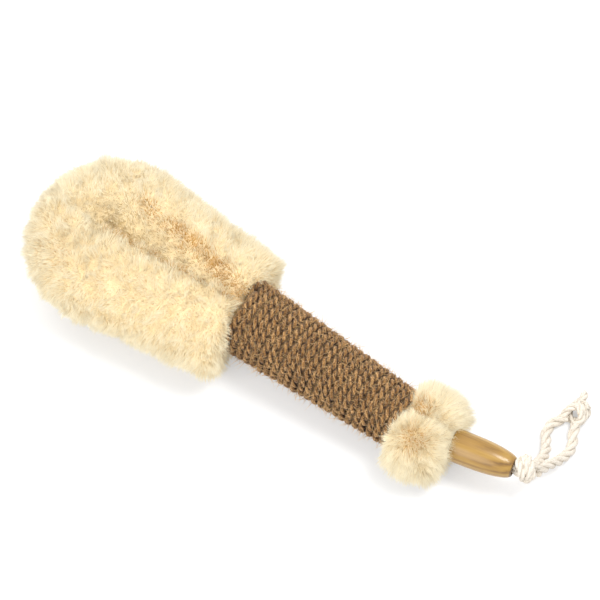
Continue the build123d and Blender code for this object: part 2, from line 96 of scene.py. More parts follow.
class Graph:
    """A node tree that is being wired, of a material, a world or geometry."""

    def __init__(self, tree: bpy.types.NodeTree) -> None:
        """Keeps the tree."""
        self.tree = tree

    def fill(self, node: Any, inputs: dict[Any, Any]) -> None:
        """Fills a node's inputs.

        Args:
            node: The node.
            inputs: Socket name or number, with a value or another node's socket.
        """
        for key, value in inputs.items():
            if isinstance(value, bpy.types.NodeSocket):
                self.tree.links.new(value, node.inputs[key])
            else:
                node.inputs[key].default_value = value

    def add(self, kind: str, inputs: dict[Any, Any] | None = None, **settings: Any) -> Any:
        """Adds a node and fills its inputs.

        Args:
            kind: The node's type.
            inputs: Socket name or number, with a value or another node's socket.
            settings: The node's own properties.

        Returns:
            The new node.
        """
        node = self.tree.nodes.new(kind)
        for name, value in settings.items():
            setattr(node, name, value)
        self.fill(node, inputs or {})
        return node

    def made(self, kind: str, inputs: dict[Any, Any] | None = None, **settings: Any) -> Any:
        """Adds a node as add does, and returns its first output."""
        return self.add(kind, inputs, **settings).outputs[0]

    def math(self, way: str, *values: Any) -> Any:
        """The result of a Math node on these values or sockets."""
        return self.made("ShaderNodeMath", dict(enumerate(values)), operation=way)

    def plus(self, one: Any, other: Any) -> Any:
        """The sum of two numbers."""
        return self.math("ADD", one, other)

    def minus(self, one: Any, other: Any) -> Any:
        """One number less another."""
        return self.math("SUBTRACT", one, other)

    def times(self, one: Any, other: Any) -> Any:
        """The product of two numbers."""
        return self.math("MULTIPLY", one, other)

    def within(self, value: Any, most: float = 1.0) -> Any:
        """A number held between zero and the most that it may be."""
        return self.math("MINIMUM", self.math("MAXIMUM", value, 0.0), most)

    def vector(self, way: str, *values: Any) -> Any:
        """The result of a Vector Math node on these values or sockets."""
        return self.made("ShaderNodeVectorMath", dict(enumerate(values)), operation=way)

    def measure(self, way: str, *values: Any) -> Any:
        """The number that a Vector Math node gives, such as a length."""
        node = self.add("ShaderNodeVectorMath", dict(enumerate(values)), operation=way)
        return node.outputs["Value"]

    def scaled(self, vector: Any, factor: Any) -> Any:
        """A vector times a number."""
        return self.made("ShaderNodeVectorMath", {0: vector, "Scale": factor}, operation="SCALE")

    def split(self, vector: Any) -> Any:
        """The three parts of a vector."""
        return self.add("ShaderNodeSeparateXYZ", {0: vector}).outputs

    def xyz(self, x: Any, y: Any, z: Any) -> Any:
        """A vector of three parts."""
        return self.made("ShaderNodeCombineXYZ", {0: x, 1: y, 2: z})

    def noise(self, place: Any, scale: Any, detail: float, output: int | str = 0,
              **more: float) -> Any:
        """Noise at a place, with the node's other inputs under their own names."""
        inputs = {"Vector": place, "Scale": scale, "Detail": detail, **more}
        return self.add("ShaderNodeTexNoise", inputs).outputs[output]

    def blend(self, factor: Any, below: Any, above: Any) -> Any:
        """Mixes two colours, the factor being the share of the second."""
        node = self.add("ShaderNodeMix", {0: factor, 6: below, 7: above}, data_type="RGBA")
        return node.outputs[2]

    def ramp(self, factor: Any, stops: Sequence[tuple[float, Any]]) -> Any:
        """A colour ramp.

        Args:
            factor: Where on the ramp.
            stops: Place and colour of each stop.

        Returns:
            The colour socket.
        """
        node = self.add("ShaderNodeValToRGB", {0: factor})
        bar = node.color_ramp
        while len(bar.elements) < len(stops):
            bar.elements.new(0.5)
        for element, (place, colour) in zip(bar.elements, stops):
            element.position, element.color = place, colour
        return node.outputs[0]

    # -- for materials

    def stored(self, name: str, output: str = "Fac") -> Any:
        """An attribute of the piece."""
        return self.add("ShaderNodeAttribute", attribute_name=name).outputs[output]

    def object_place(self) -> Any:
        """The place in the piece's own coordinates."""
        return self.add("ShaderNodeTexCoord").outputs["Object"]

    # -- for geometry

    def place(self) -> Any:
        """The place of each point."""
        return self.made("GeometryNodeInputPosition")

    def keep(self, geometry: Any, name: str, value: Any, kind: str = "FLOAT") -> Any:
        """Stores an attribute on points and returns the geometry."""
        return self.made("GeometryNodeStoreNamedAttribute",
                         {"Geometry": geometry, "Name": name, "Value": value},
                         data_type=kind, domain="POINT")

    def read(self, name: str, kind: str = "FLOAT") -> Any:
        """Reads a stored attribute."""
        return self.made("GeometryNodeInputNamedAttribute", {"Name": name}, data_type=kind)

    def chance(self, low: float, high: float, seed: Any, stream: int) -> Any:
        """A random number between two values, of its own stream."""
        inputs = {"Seed": self.plus(seed, float(stream)), 2: low, 3: high}
        return self.add("FunctionNodeRandomValue", inputs, data_type="FLOAT").outputs[1]

    def anywhere(self, reach: float, seed: Any) -> Any:
        """A random vector whose parts reach so far either way."""
        return self.made("FunctionNodeRandomValue",
                         {0: (-reach,) * 3, 1: (reach,) * 3, "Seed": seed}, data_type=VECTOR)

    def joined(self, parts: Sequence[Any]) -> Any:
        """Joins geometries.

        Args:
            parts: The geometries, in the order in which they are joined.

        Returns:
            The joined geometry.
        """
        node = self.add("GeometryNodeJoinGeometry")
        for part in parts:
            self.tree.links.new(part, node.inputs[0])
        return node.outputs[0]

    def spikes(self, points: Any, turned: Any, size: Any) -> Any:
        """Stands three-sided tapered fibres on points.

        Args:
            points: Where they stand.
            turned: Their rotation.
            size: Their width, width and length.

        Returns:
            The fibres' real geometry, with the attribute along, from root to tip.
        """
        spike = self.add("GeometryNodeMeshCone", {
            "Vertices": 3, "Side Segments": 2, "Radius Top": 0.0, "Radius Bottom": 1.0,
            "Depth": 1.0}).outputs["Mesh"]
        spike = self.keep(spike, "along", self.split(self.place())[2])
        fibres = self.made("GeometryNodeInstanceOnPoints", {
            "Points": points, "Instance": spike, "Rotation": turned, "Scale": size})
        return self.made("GeometryNodeRealizeInstances", {"Geometry": fibres})

    def rested(self, geometry: Any, place: Any, floor: Any) -> Any:
        """Moves geometry to a place, but no lower than the floor.

        Args:
            geometry: What is moved.
            place: Where each point goes.
            floor: The least height.

        Returns:
            The moved geometry.
        """
        x, y, z = self.split(place)
        above = self.xyz(x, y, self.math("MAXIMUM", z, floor))
        return self.made("GeometryNodeSetPosition", {"Geometry": geometry, "Position": above})


def new_material(name: str) -> tuple[bpy.types.Material, Graph, Any]:
    """A material with one Principled shader.

    Args:
        name: The material's name.

    Returns:
        The material, its graph and the shader.
    """
    material = bpy.data.materials.new(name)
    material.use_nodes = True
    shader = material.node_tree.nodes["Principled BSDF"]
    return material, Graph(material.node_tree), shader


def emptied(owner: Any) -> Graph:
    """Starts the tree of a material or a world anew.

    Args:
        owner: The material or the world.

    Returns:
        The graph of its empty tree.
    """
    owner.use_nodes = True
    owner.node_tree.nodes.clear()
    return Graph(owner.node_tree)


# ---- finishes


@dataclass(frozen=True)
class FibreFinish:
    """Natural bristle: cream, with golden strands and dull ones among it, and painted shade
    towards the roots, in the groove and on flanks that face inward.
    """

    name: str = "bristle_fibre"
    root: tuple = tint(242, 210, 150)
    middle: tuple = tint(250, 229, 184)
    tip: tuple = tint(254, 242, 210)
    gold: tuple = tint(220, 158, 40)
    brown: tuple = tint(136, 88, 16)
    dull: tuple = tint(212, 180, 118)
    patch_scale: float = 70.0
    patch_share: float = 0.3
    dull_share: float = 0.12
    dull_in_shade: float = 0.6
    dull_cover: float = 0.8
    gold_least: float = 0.6
    gold_in_blotch: float = 0.8
    gold_fade: float = 0.5
    brown_below: float = 0.62
    least_value: float = 0.89
    value_range: float = 0.21

    def make(self) -> bpy.types.Material:
        """Builds the material from the fibres' own attributes.

        Returns:
            The material.
        """
        material, g, shader = new_material(self.name)
        along, tone, gold, shade = map(g.stored, ("along", "tone", "gold", "shade"))
        patch = g.noise(g.object_place(), self.patch_scale, 3.0)
        blotch = g.ramp(patch, [(0.36, BLACK), (0.62, WHITE)])
        # painted shade: the fibres darken towards their roots, deep in the coat
        height = g.plus(along, g.times(patch, self.patch_share))
        colour = g.ramp(height, [(0.08, self.root), (0.42, self.middle), (0.9, self.tip)])
        # a share of the strands is dull or golden, the others stay cream; the dull share is partly
        # random, and grows with the attribute shade as painted shade on flanks that face inward
        share = g.plus(self.dull_share, g.times(shade, self.dull_in_shade))
        dull_and_shaded = self.strands(g, share, tone)
        colour = g.blend(g.times(dull_and_shaded, self.dull_cover), colour, self.dull)
        share = g.times(gold, g.plus(self.gold_least, g.times(blotch, self.gold_in_blotch)))
        golden = self.strands(g, share, g.minus(1.0, tone))
        fade = g.minus(1.0, g.times(along, self.gold_fade))
        colour = g.blend(g.times(golden, fade), colour, self.gold)
        # golden strands are brown towards their roots, partly painted shade deep in the parting
        # and the groove
        deep = g.times(golden, g.minus(self.brown_below, along))
        colour = g.blend(g.math("MAXIMUM", deep, 0.0), colour, self.brown)
        value = g.plus(self.least_value, g.times(tone, self.value_range))
        colour = g.made("ShaderNodeHueSaturation", {"Value": value, "Color": colour})
        g.fill(shader, {"Base Color": colour, "Roughness": 0.7, "Specular IOR Level": 0.25,
                        "Sheen Weight": 0.3, "Sheen Roughness": 0.5})
        return material

    @staticmethod
    def strands(g: Graph, share: Any, tone: Any, steep: float = 6.0) -> Any:
        """Near one for a share of the strands, picked by their random tone, else nought."""
        return g.within(g.times(g.minus(share, tone), steep))


@dataclass(frozen=True)
class LaidFinish:
    """Twisted yarn, whose fine fibres run slantwise along each ply."""

    name: str
    pale: tuple
    middle: tuple
    deep: tuple
    fleck: tuple
    fleck_share: float
    bump: float
    fineness: float
    hollow: float
    roughness: float = 0.85
    patch_scale: float = 140.0
    spot_scale: float = 900.0
    streak_share: float = 0.6
    spot_share: float = 0.3
    patch_share: float = 0.1
    tip_rise: float = 3.0
    tip_most: float = 0.85

    def make(self) -> bpy.types.Material:
        """Builds the material from the yarn's own attributes.

        Returns:
            The material.
        """
        material, g, shader = new_material(self.name)
        place = g.object_place()
        streak = g.noise(g.stored("fibre", "Vector"), self.fineness, 4.0, Roughness=0.7)
        patch = g.noise(place, self.patch_scale, 3.0)
        spot = g.noise(place, self.spot_scale, 2.0)
        grain = g.plus(g.times(spot, self.spot_share), g.times(patch, self.patch_share))
        mixed = g.plus(g.times(streak, self.streak_share), grain)
        colour = g.ramp(mixed, [(0.39, self.deep), (0.5, self.middle), (0.61, self.pale)])
        flecks = g.ramp(spot, [(0.66 - self.fleck_share, BLACK), (0.70 - self.fleck_share, WHITE)])
        colour = g.blend(flecks, colour, self.fleck)
        # painted shade: the hollows between the plies and between the turns are darker
        hollow = g.times(g.minus(1.0, g.stored("relief")), self.hollow)
        colour = g.blend(hollow, colour, self.deep)
        # stray fibres are pale towards their tips
        tips = g.math("MINIMUM", g.times(g.stored("along"), self.tip_rise), self.tip_most)
        colour = g.blend(tips, colour, self.pale)
        bump = g.made("ShaderNodeBump", {"Strength": self.bump, "Distance": 0.0006,
                                         "Height": streak})
        g.fill(shader, {"Base Color": colour, "Normal": bump, "Roughness": self.roughness,
                        "Specular IOR Level": 0.2, "Sheen Weight": 0.2})
        return material


@dataclass(frozen=True)
class WoodFinish:
    """Lacquered turned wood, its grain along the bead's axis."""

    name: str = "lacquered_wood"
    light: tuple = tint(184, 145, 66)
    middle: tuple = tint(158, 118, 46)
    dark: tuple = tint(104, 72, 26)
    mouth_shade: tuple = tint(62, 42, 20)
    turn: float = 8.8
    mouth: float = 0.1554
    long_grain: tuple = (14.0, 170.0, 170.0)
    fine_grain: tuple = (60.0, 1500.0, 1500.0)
    warp_share: float = 0.55
    ring_share: float = 0.2
    fine_share: float = 0.25
    mouth_steep: float = 1100.0
    mouth_most: float = 0.85

    def make(self) -> bpy.types.Material:
        """Builds the material with long grain, fine pores, painted shade round the mouth and a
        clear coat.

        Returns:
            The material.
        """
        material, g, shader = new_material(self.name)
        turned = g.made("ShaderNodeMapping", {"Vector": g.object_place(),
                                              "Rotation": (0.0, 0.0, -math.radians(self.turn))})
        long = g.vector("MULTIPLY", turned, self.long_grain)
        warp = g.noise(long, 1.0, 3.0, Distortion=0.8)
        rings = g.add("ShaderNodeTexWave", {"Vector": long, "Scale": 0.55, "Distortion": 7.0,
                                            "Detail": 3.0, "Detail Scale": 0.7},
                      wave_type="BANDS", bands_direction="Z").outputs[1]
        fine = g.noise(g.vector("MULTIPLY", turned, self.fine_grain), 1.0, 4.0)
        mixed = g.plus(g.times(warp, self.warp_share), g.times(rings, self.ring_share))
        mixed = g.plus(mixed, g.times(fine, self.fine_share))
        colour = g.ramp(mixed, [(0.26, self.dark), (0.43, self.middle), (0.7, self.light)])
        # painted shade: the end face round the mouth is darkened
        near_tip = g.times(g.minus(g.split(turned)[0], self.mouth), self.mouth_steep)
        colour = g.blend(g.within(near_tip, self.mouth_most), colour, self.mouth_shade)
        bump = g.made("ShaderNodeBump", {"Strength": 0.12, "Distance": 0.0004, "Height": fine})
        g.fill(shader, {"Base Color": colour, "Normal": bump, "Roughness": 0.42,
                        "Coat Weight": 0.6, "Coat Roughness": 0.18})
        return material


@dataclass(frozen=True)
class SteelFinish:
    """Drawn steel wire."""

    name: str = "drawn_steel"
    bright: tuple = tint(200, 200, 198)
    dull: tuple = tint(140, 140, 138)
    draw_marks: tuple = (90.0, 2500.0, 2500.0)

    def make(self) -> bpy.types.Material:
        """Builds the material with fine draw marks.

        Returns:
            The material.
        """
        material, g, shader = new_material(self.name)
        mark = g.noise(g.vector("MULTIPLY", g.object_place(), self.draw_marks), 1.0, 3.0)
        g.fill(shader, {"Base Color": g.ramp(mark, [(0.35, self.dull), (0.65, self.bright)]),
                        "Roughness": g.plus(0.22, g.times(mark, 0.2)), "Metallic": 1.0})
        return material


SISAL = LaidFinish("plant_fibre_rope", pale=tint(248, 203, 140), middle=tint(162, 115, 62),
                   deep=tint(44, 27, 12), fleck=tint(70, 44, 20), fleck_share=0.06,
                   bump=1.0, fineness=3.6, hollow=0.85)
COTTON = LaidFinish("cotton_cord", pale=tint(244, 237, 226), middle=tint(232, 223, 209),
                    deep=tint(204, 193, 176), fleck=tint(212, 196, 168), fleck_share=0.01,
                    bump=0.35, fineness=4.5, hollow=0.6)


# ---- making meshes


def place_piece(name: str, mesh: bpy.types.Mesh, body: Body,
                stands_for: Sequence[str]) -> bpy.types.Object:
    """Makes a mesh a piece of the brush.

    Args:
        name: The piece's name.
        mesh: Its mesh, in metres, in the frame of the model.
        body: The body that it rides on.
        stands_for: The CAD nodes that it replaces.

    Returns:
        The piece's object.
    """
    obj = show(bpy.data.objects.new(name, mesh))
    mesh.name = name
    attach(obj, body.value)
    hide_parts(*stands_for)
    log.info("%s: %d triangles", name, sum(len(p.vertices) - 2 for p in mesh.polygons))
    return obj


def evaluated(obj: bpy.types.Object, **options: Any) -> bpy.types.Mesh:
    """The plain mesh that an object shows."""
    depsgraph = bpy.context.evaluated_depsgraph_get()
    return bpy.data.meshes.new_from_object(obj.evaluated_get(depsgraph), depsgraph=depsgraph,
                                           **options)


def grown(name: str, carrier: bpy.types.Mesh, tree: bpy.types.NodeTree,
          values: dict[str, Any]) -> bpy.types.Mesh:
    """Runs a geometry tree on a carrier mesh and keeps the result as a plain mesh.

    Args:
        name: The new mesh's name.
        carrier: The mesh that the tree starts from.
        tree: The geometry tree.
        values: The tree's inputs by name.

    Returns:
        The finished mesh.
    """
    obj = show(bpy.data.objects.new(name + "_carrier", carrier))
    modifier = obj.modifiers.new("form", "NODES")
    modifier.node_group = tree
    for item in tree.interface.items_tree:
        if item.item_type == "SOCKET" and item.in_out == "INPUT" and item.name in values:
            modifier[item.identifier] = values[item.name]
    mesh = evaluated(obj, preserve_all_data_layers=True)
    obj.modifiers.remove(modifier)
    bpy.data.objects.remove(obj)
    mesh.name = name
    return mesh


def new_tree(name: str, inputs: Sequence[tuple[str, Any]]) -> tuple[Any, Graph, Any]:
    """Starts a geometry tree.

    Args:
        name: The tree's name.
        inputs: Name and standard value of each input besides the geometry.

    Returns:
        The tree, its graph and the sockets that carry its inputs.
    """
    tree = bpy.data.node_groups.new(name, "GeometryNodeTree")
    geometry = {"name": "Geometry", "socket_type": "NodeSocketGeometry"}
    tree.interface.new_socket(in_out="INPUT", **geometry)
    for label, value in inputs:
        kind = "NodeSocketInt" if isinstance(value, int) else "NodeSocketFloat"
        socket = tree.interface.new_socket(name=label, in_out="INPUT", socket_type=kind)
        socket.default_value = value
    tree.interface.new_socket(in_out="OUTPUT", **geometry)
    graph = Graph(tree)
    return tree, graph, graph.add("NodeGroupInput").outputs


def close_tree(graph: Graph, geometry: Any, material: bpy.types.Material) -> None:
    """Ends a tree in plain geometry with its material.

    Args:
        graph: The tree's graph.
        geometry: The geometry socket.
        material: What the geometry is made of.
    """
    real = graph.made("GeometryNodeRealizeInstances", {"Geometry": geometry})
    smooth = graph.made("GeometryNodeSetShadeSmooth", {"Geometry": real})
    made = graph.made("GeometryNodeSetMaterial", {"Geometry": smooth, "Material": material})
    graph.add("NodeGroupOutput", {"Geometry": made})


def noise_bend(g: Graph, root: Any, cell: Any, pull: Any) -> Any:
    """A bend that neighbouring fibres share.

    Args:
        g: The tree's graph.
        root: Where the fibre stands.
        cell: Size of a tuft.
        pull: How far its tips lean.

    Returns:
        The vector socket.
    """
    noise = g.noise(root, g.math("DIVIDE", 1.0, cell), 1.0, "Color")
    return g.scaled(g.vector("SUBTRACT", noise, (0.5, 0.5, 0.5)), g.times(pull, 2.0))


class Coat:
    """Grows tapered fibres on a mass of bound fibre."""

    widths: tuple = (0.6, 1.15)
    lengths: tuple = (0.7, 1.22)
    spin: float = 6.28
    curl: float = 1.5
    seed_step: int = 7

    def __init__(self, material: bpy.types.Material, stout: float = 0.45) -> None:
        """Builds the tree once for all the coats of one finish.

        Args:
            material: What the fibres are made of.
            stout: Share of the fibres that are thick enough to cast a shadow.
        """
        self.material, self.stout = material, stout
        self.tree, g, fed = new_tree("fibre_coat_" + material.name, [
            ("Density", 1.5e6), ("Seed", 1), ("Thickness", 0.00021), ("Stray", 0.24),
            ("Tuft", 0.0075), ("Lean", 0.0055), ("Wisp", 0.0024), ("Sway", 0.0018),
            ("Floor", 0.0003)])
        seed = fed["Seed"]
        points = g.add("GeometryNodeDistributePointsOnFaces", {
            "Mesh": fed["Geometry"], "Density": g.times(fed["Density"], g.read("grow")),
            "Seed": seed}).outputs["Points"]
        points = g.keep(points, "root", g.place(), VECTOR)
        points = g.keep(points, "tone", g.chance(0.0, 1.0, seed, 1))
        way = g.vector("ADD", g.read("comb", VECTOR),
                       g.scaled(g.anywhere(1.0, seed), fed["Stray"]))
        spin = g.made("FunctionNodeAxisAngleToRotation", {
            "Axis": (0.0, 0.0, 1.0), "Angle": g.chance(0.0, self.spin, seed, 2)})
        turned = g.made("FunctionNodeAlignRotationToVector", {"Rotation": spin, "Vector": way},
                        axis="Z")
        width = g.times(fed["Thickness"], g.chance(*self.widths, seed, 3))
        length = g.times(g.read("reach"), g.chance(*self.lengths, seed, 4))
        fibres = g.spikes(points, turned, g.xyz(width, width, length))
        root = g.read("root", VECTOR)
        bend = g.vector("ADD", noise_bend(g, root, fed["Tuft"], fed["Lean"]),
                        noise_bend(g, root, fed["Wisp"], fed["Sway"]))
        moved = g.scaled(bend, g.math("POWER", g.read("along"), self.curl))
        moved = g.vector("ADD", g.place(), moved)
        close_tree(g, g.rested(fibres, moved, fed["Floor"]), material)

    def grow(self, name: str, mass: bpy.types.Mesh, count: int, nodes: Sequence[str],
             seed: int, **values: float) -> list[bpy.types.Object]:
        """Grows about so many fibres on a mass, and keeps both as pieces.

        Args:
            name: The fibres' name.
            mass: Closed mesh with the attributes comb, reach, grow, gold and shade.
            count: How many fibres.
            nodes: The CAD nodes that mass and fibres stand for.
            seed: For all that is random.
            values: Other inputs of the tree, in small letters.

        Returns:
            The pieces of mass, stout fibres and fine fibres.
        """
        grow = [value.value for value in mass.attributes["grow"].data]
        area = sum(p.area * sum(grow[v] for v in p.vertices) / len(p.vertices)
                   for p in mass.polygons)
        given = {k.capitalize(): v for k, v in values.items()}
        pieces = []
        for part, share in (("stout", self.stout), ("fine", 1 - self.stout)):
            fibres = grown(name, mass, self.tree, {
                "Density": share * count / area, **given,
                "Seed": seed + len(pieces) * self.seed_step})
            self.soften(fibres)
            pieces.append(place_piece(f"{name}_{part}", fibres, Body.BRUSH, nodes))
        # light passes through the finer fibres, so they hardly shade the others
        pieces[1].visible_shadow = False
        self.dress_core(mass)
        return [place_piece(name + "_core", mass, Body.BRUSH, nodes), *pieces]

    def dress_core(self, mass: bpy.types.Mesh, paler: float = 0.4, along: float = 0.3,
                   tone: float = 0.5) -> None:
        """Gives the mass the fibres' finish, as it shows between them.

        Args:
            mass: The mass, whose attributes for growing are no longer needed.
            paler: What is left of its gold.
            along, tone: What its surface has of these attributes of the fibres.
        """
        for point in mass.attributes["gold"].data:
            point.value *= paler
        for label, value in (("along", along), ("tone", tone)):
            layer = mass.attributes.new(label, "FLOAT", "POINT")
            layer.data.foreach_set("value", [value] * len(mass.vertices))
        for label in ("comb", "reach", "grow"):
            mass.attributes.remove(mass.attributes[label])
        mass.shade_smooth()
        mass.materials.append(self.material)

    @staticmethod
    def soften(mesh: bpy.types.Mesh, share: float = 0.8, lift: float = 0.7) -> None:
        """Shades the fibres as one soft surface, as light that passes through them does.

        Args:
            mesh: The grown mesh, with the attribute comb on its points.
            share: Share of the coat's direction in each shading normal.
            lift: How far the normals lean up, to the sky that shines through the tips.
        """
        count = len(mesh.vertices)
        comb, own = np.empty(count * 3, np.float32), np.empty(count * 3, np.float32)
        mesh.attributes["comb"].data.foreach_get("vector", comb)
        mesh.vertices.foreach_get("normal", own)
        normals = comb.reshape(-1, 3) * share + own.reshape(-1, 3) * (1 - share)
        normals[:, 2] += lift
        mesh.normals_split_custom_set_from_vertices(unit(normals).tolist())
        for name in ("comb", "root", "reach", "grow"):
            mesh.attributes.remove(mesh.attributes[name])


class Lay:
    """Twists plies round a line, and lets stray fibres stand off them."""

    streak_run: float = 60.0
    streak_step: float = 3.7
    hollow_depth: float = 0.4
    ply_steep: float = 2.2
    turn_steep: float = 1.5
    hair_spread: float = 1.3
    hair_lengths: tuple = (0.25, 1.0)
    hair_tuft: float = 0.004
    hair_lean: float = 0.8
    hair_curl: float = 1.7

    def __init__(self, name: str, plies: int, material: bpy.types.Material) -> None:
        """Builds the tree for one number of plies.

        Args:
            name: The tree's name.
            plies: How many plies the line has.
            material: What it is made of.
        """
        self.tree, g, fed = new_tree(name, [
            ("Step", 0.001), ("Ply", 0.001), ("Offset", 0.001), ("Lay", 0.01), ("Sides", 7),
            ("Twist", 500.0), ("Hairs", 2e4), ("Hair", 0.004), ("Fine", 0.00008), ("Seed", 1),
            ("Floor", 0.0003), ("Open", 1.0)])
        line = g.made("GeometryNodeMeshToCurve", {"Mesh": fed["Geometry"]})
        line = g.made("GeometryNodeResampleCurve", {"Curve": line, "Length": fed["Step"]},
                      mode="LENGTH")
        run = g.add("GeometryNodeSplineParameter").outputs["Length"]
        normal = g.made("GeometryNodeInputNormal")
        beside = g.vector("CROSS_PRODUCT", g.made("GeometryNodeInputTangent"), normal)
        place = g.place()
        line = g.keep(line, "axis", place, VECTOR)
        profile = g.made("GeometryNodeCurvePrimitiveCircle", {"Resolution": fed["Sides"],
                                                              "Radius": 1.0})
        profile = g.keep(profile, "rim", place, VECTOR)
        profile = g.made("GeometryNodeSetPosition", {"Geometry": profile,
                                                     "Position": g.scaled(place, fed["Ply"])})
        tubes = []
        for ply in range(plies):
            share = g.plus(g.math("DIVIDE", run, fed["Lay"]), ply / plies)
            angle = g.times(share, 2 * math.pi)
            offset = g.vector("ADD", g.scaled(normal, g.math("COSINE", angle)),
                              g.scaled(beside, g.math("SINE", angle)))
            twisted = g.made("GeometryNodeSetPosition", {
                "Geometry": g.keep(line, "run", run), "Offset": g.scaled(offset, fed["Offset"])})
            tube = g.made("GeometryNodeCurveToMesh", {"Curve": twisted, "Profile Curve": profile,
                                                      "Fill Caps": True})
            # each ply has its own stretch of the streaks
            tubes.append(g.keep(tube, "own", ply * self.streak_step))
        yarn = self.raised(g, self.slanted(g, g.joined(tubes), fed["Twist"]), fed)
        yarn = g.rested(yarn, place, fed["Floor"])
        close_tree(g, g.joined([yarn, self.hairs(g, yarn, fed)]), material)

    def slanted(self, g: Graph, tube: Any, twist: Any) -> Any:
        """Stores the coordinates that the fine fibres of a ply follow.

        Args:
            g: The tree's graph.
            tube: The plies' geometry.
            twist: Turn of the fibres along the ply, in radians a metre.

        Returns:
            The geometry with the attribute fibre.
        """
        run = g.read("run")
        rim_x, rim_y, _ = g.split(g.read("rim", VECTOR))
        turn = g.times(run, twist)
        cosine, sine = g.math("COSINE", turn), g.math("SINE", turn)
        x = g.minus(g.times(rim_x, cosine), g.times(rim_y, sine))
        y = g.plus(g.times(rim_x, sine), g.times(rim_y, cosine))
        length = g.plus(g.times(run, self.streak_run), g.read("own"))
        return g.keep(tube, "fibre", g.xyz(x, y, length), VECTOR)

    def raised(self, g: Graph, tube: Any, fed: Any) -> Any:
        """Stores how far each point stands out of the hollows, for the material's painted shade in
        them.

        Args:
            g: The tree's graph.
            tube: The plies' geometry.
            fed: The tree's inputs.

        Returns:
            The geometry with the attribute relief, zero in a hollow and one on a crown.
        """
        away = g.vector("SUBTRACT", g.place(), g.read("axis", VECTOR))
        size = g.times(fed["Ply"], 2.0)
        distance = g.measure("LENGTH", away)
        lean = g.measure("DOT_PRODUCT", away, g.read("outward", VECTOR))
        ply = g.minus(g.math("DIVIDE", distance, size), self.hollow_depth)
        turn = g.plus(g.math("DIVIDE", lean, size), fed["Open"])
        ply, turn = g.times(ply, self.ply_steep), g.times(turn, self.turn_steep)
        return g.keep(tube, "relief", g.within(g.math("MINIMUM", ply, turn)))

    def hairs(self, g: Graph, yarn: Any, fed: Any) -> Any:
        """Stray fibres that stand off the plies.

        Args:
            g: The tree's graph.
            yarn: The plies' geometry.
            fed: The tree's inputs.

        Returns:
            The hairs' geometry.
        """
        seed, hair, fine = fed["Seed"], fed["Hair"], fed["Fine"]
        scatter = g.add("GeometryNodeDistributePointsOnFaces",
                        {"Mesh": yarn, "Density": fed["Hairs"], "Seed": seed})
        points = g.keep(scatter.outputs["Points"], "root", g.place(), VECTOR)
        way = g.vector("ADD", scatter.outputs["Normal"], g.anywhere(self.hair_spread, seed))
        turned = g.made("FunctionNodeAlignRotationToVector", {"Vector": way}, axis="Z")
        length = g.times(hair, g.chance(*self.hair_lengths, seed, 5))
        hairs = g.spikes(points, turned, g.xyz(fine, fine, length))
        pull = g.times(hair, self.hair_lean)
        bend = noise_bend(g, g.read("root", VECTOR), self.hair_tuft, pull)
        moved = g.scaled(bend, g.math("POWER", g.read("along"), self.hair_curl))
        return g.rested(hairs, g.vector("ADD", g.place(), moved), fed["Floor"])

    def twist(self, name: str, lines: Sequence[np.ndarray], outward: np.ndarray | None = None,
              **values: Any) -> bpy.types.Mesh:
        """Twists the plies along one or more lines.

        Args:
            name: The new mesh's name.
            lines: The points of each line, in metres.
            outward: Direction at each point away from what the line is wound on, if any.
            values: The tree's inputs, in small letters.

        Returns:
            The mesh of the laid line.
        """
        points, edges = [], []
        for line in lines:
            start = len(points)
            points += [tuple(p) for p in line]
            edges += [(start + i, start + i + 1) for i in range(len(line) - 1)]
        carrier = bpy.data.meshes.new(name + "_line")
        carrier.from_pydata(points, edges, [])
        if outward is not None:
            layer = carrier.attributes.new("outward", VECTOR, "POINT")
            layer.data.foreach_set("vector", outward.astype(np.float32).ravel())
        return grown(name, carrier, self.tree, {k.capitalize(): v for k, v in values.items()})


# ---- forms that the sub-assemblies share


def unit(vectors: np.ndarray) -> np.ndarray:
    """The vectors at length one."""
    return vectors / np.maximum(np.linalg.norm(vectors, axis=-1, keepdims=True), 1e-9)


def bell(value: Any, middle: float, width: float) -> Any:
    """One in the middle, and falling off to either side within about the width."""
    return np.exp(-((value - middle) / width) ** 2)


def waved(base: Any, at: np.ndarray, waves: Sequence[tuple]) -> np.ndarray:
    """Adds waves, each of a size, a pace and a start, to what is given."""
    for size, pace, start in waves:
        base = base + size * np.sin(at * pace + start)
    return base


def room_to(plane: float, towards: np.ndarray) -> np.ndarray:
    """How far each direction runs before it meets a plane.

    Args:
        plane: The plane's distance.
        towards: Share of each direction that goes towards the plane.

    Returns:
        The distances, which are very long where a direction leads away.
    """
    return np.where(towards > 1e-3, plane / np.maximum(towards, 1e-3), 1e3)


def ring_angles(count: int) -> np.ndarray:
    """Angles round a ring, from its lowest point."""
    return np.linspace(-math.pi / 2, 1.5 * math.pi, count, endpoint=False)


def by_side(near: float, far: float) -> Any:
    """A dataclass field with a value for each side."""
    return field(default_factory=lambda: {Side.NEAR: near, Side.FAR: far})


def band(one: int, other: int, count: int) -> list[tuple[int, ...]]:
    """The faces between two rings of so many points, each given by its number."""
    return [(one * count + k, one * count + (k + 1) % count,
             other * count + (k + 1) % count, other * count + k) for k in range(count)]


def closed_mesh(name: str, points: Sequence[Any], faces: Sequence[Any]) -> bpy.types.Mesh:
    """A closed mesh whose faces look outward.

    Args:
        name: The mesh's name.
        points: Its points, in metres.
        faces: Its faces, all wound the same way.

    Returns:
        The mesh.
    """
    mesh = bpy.data.meshes.new(name)
    mesh.from_pydata(points, [], faces)
    if sum(p.center.dot(p.normal) * p.area for p in mesh.polygons) < 0:
        mesh.flip_normals()
    return mesh


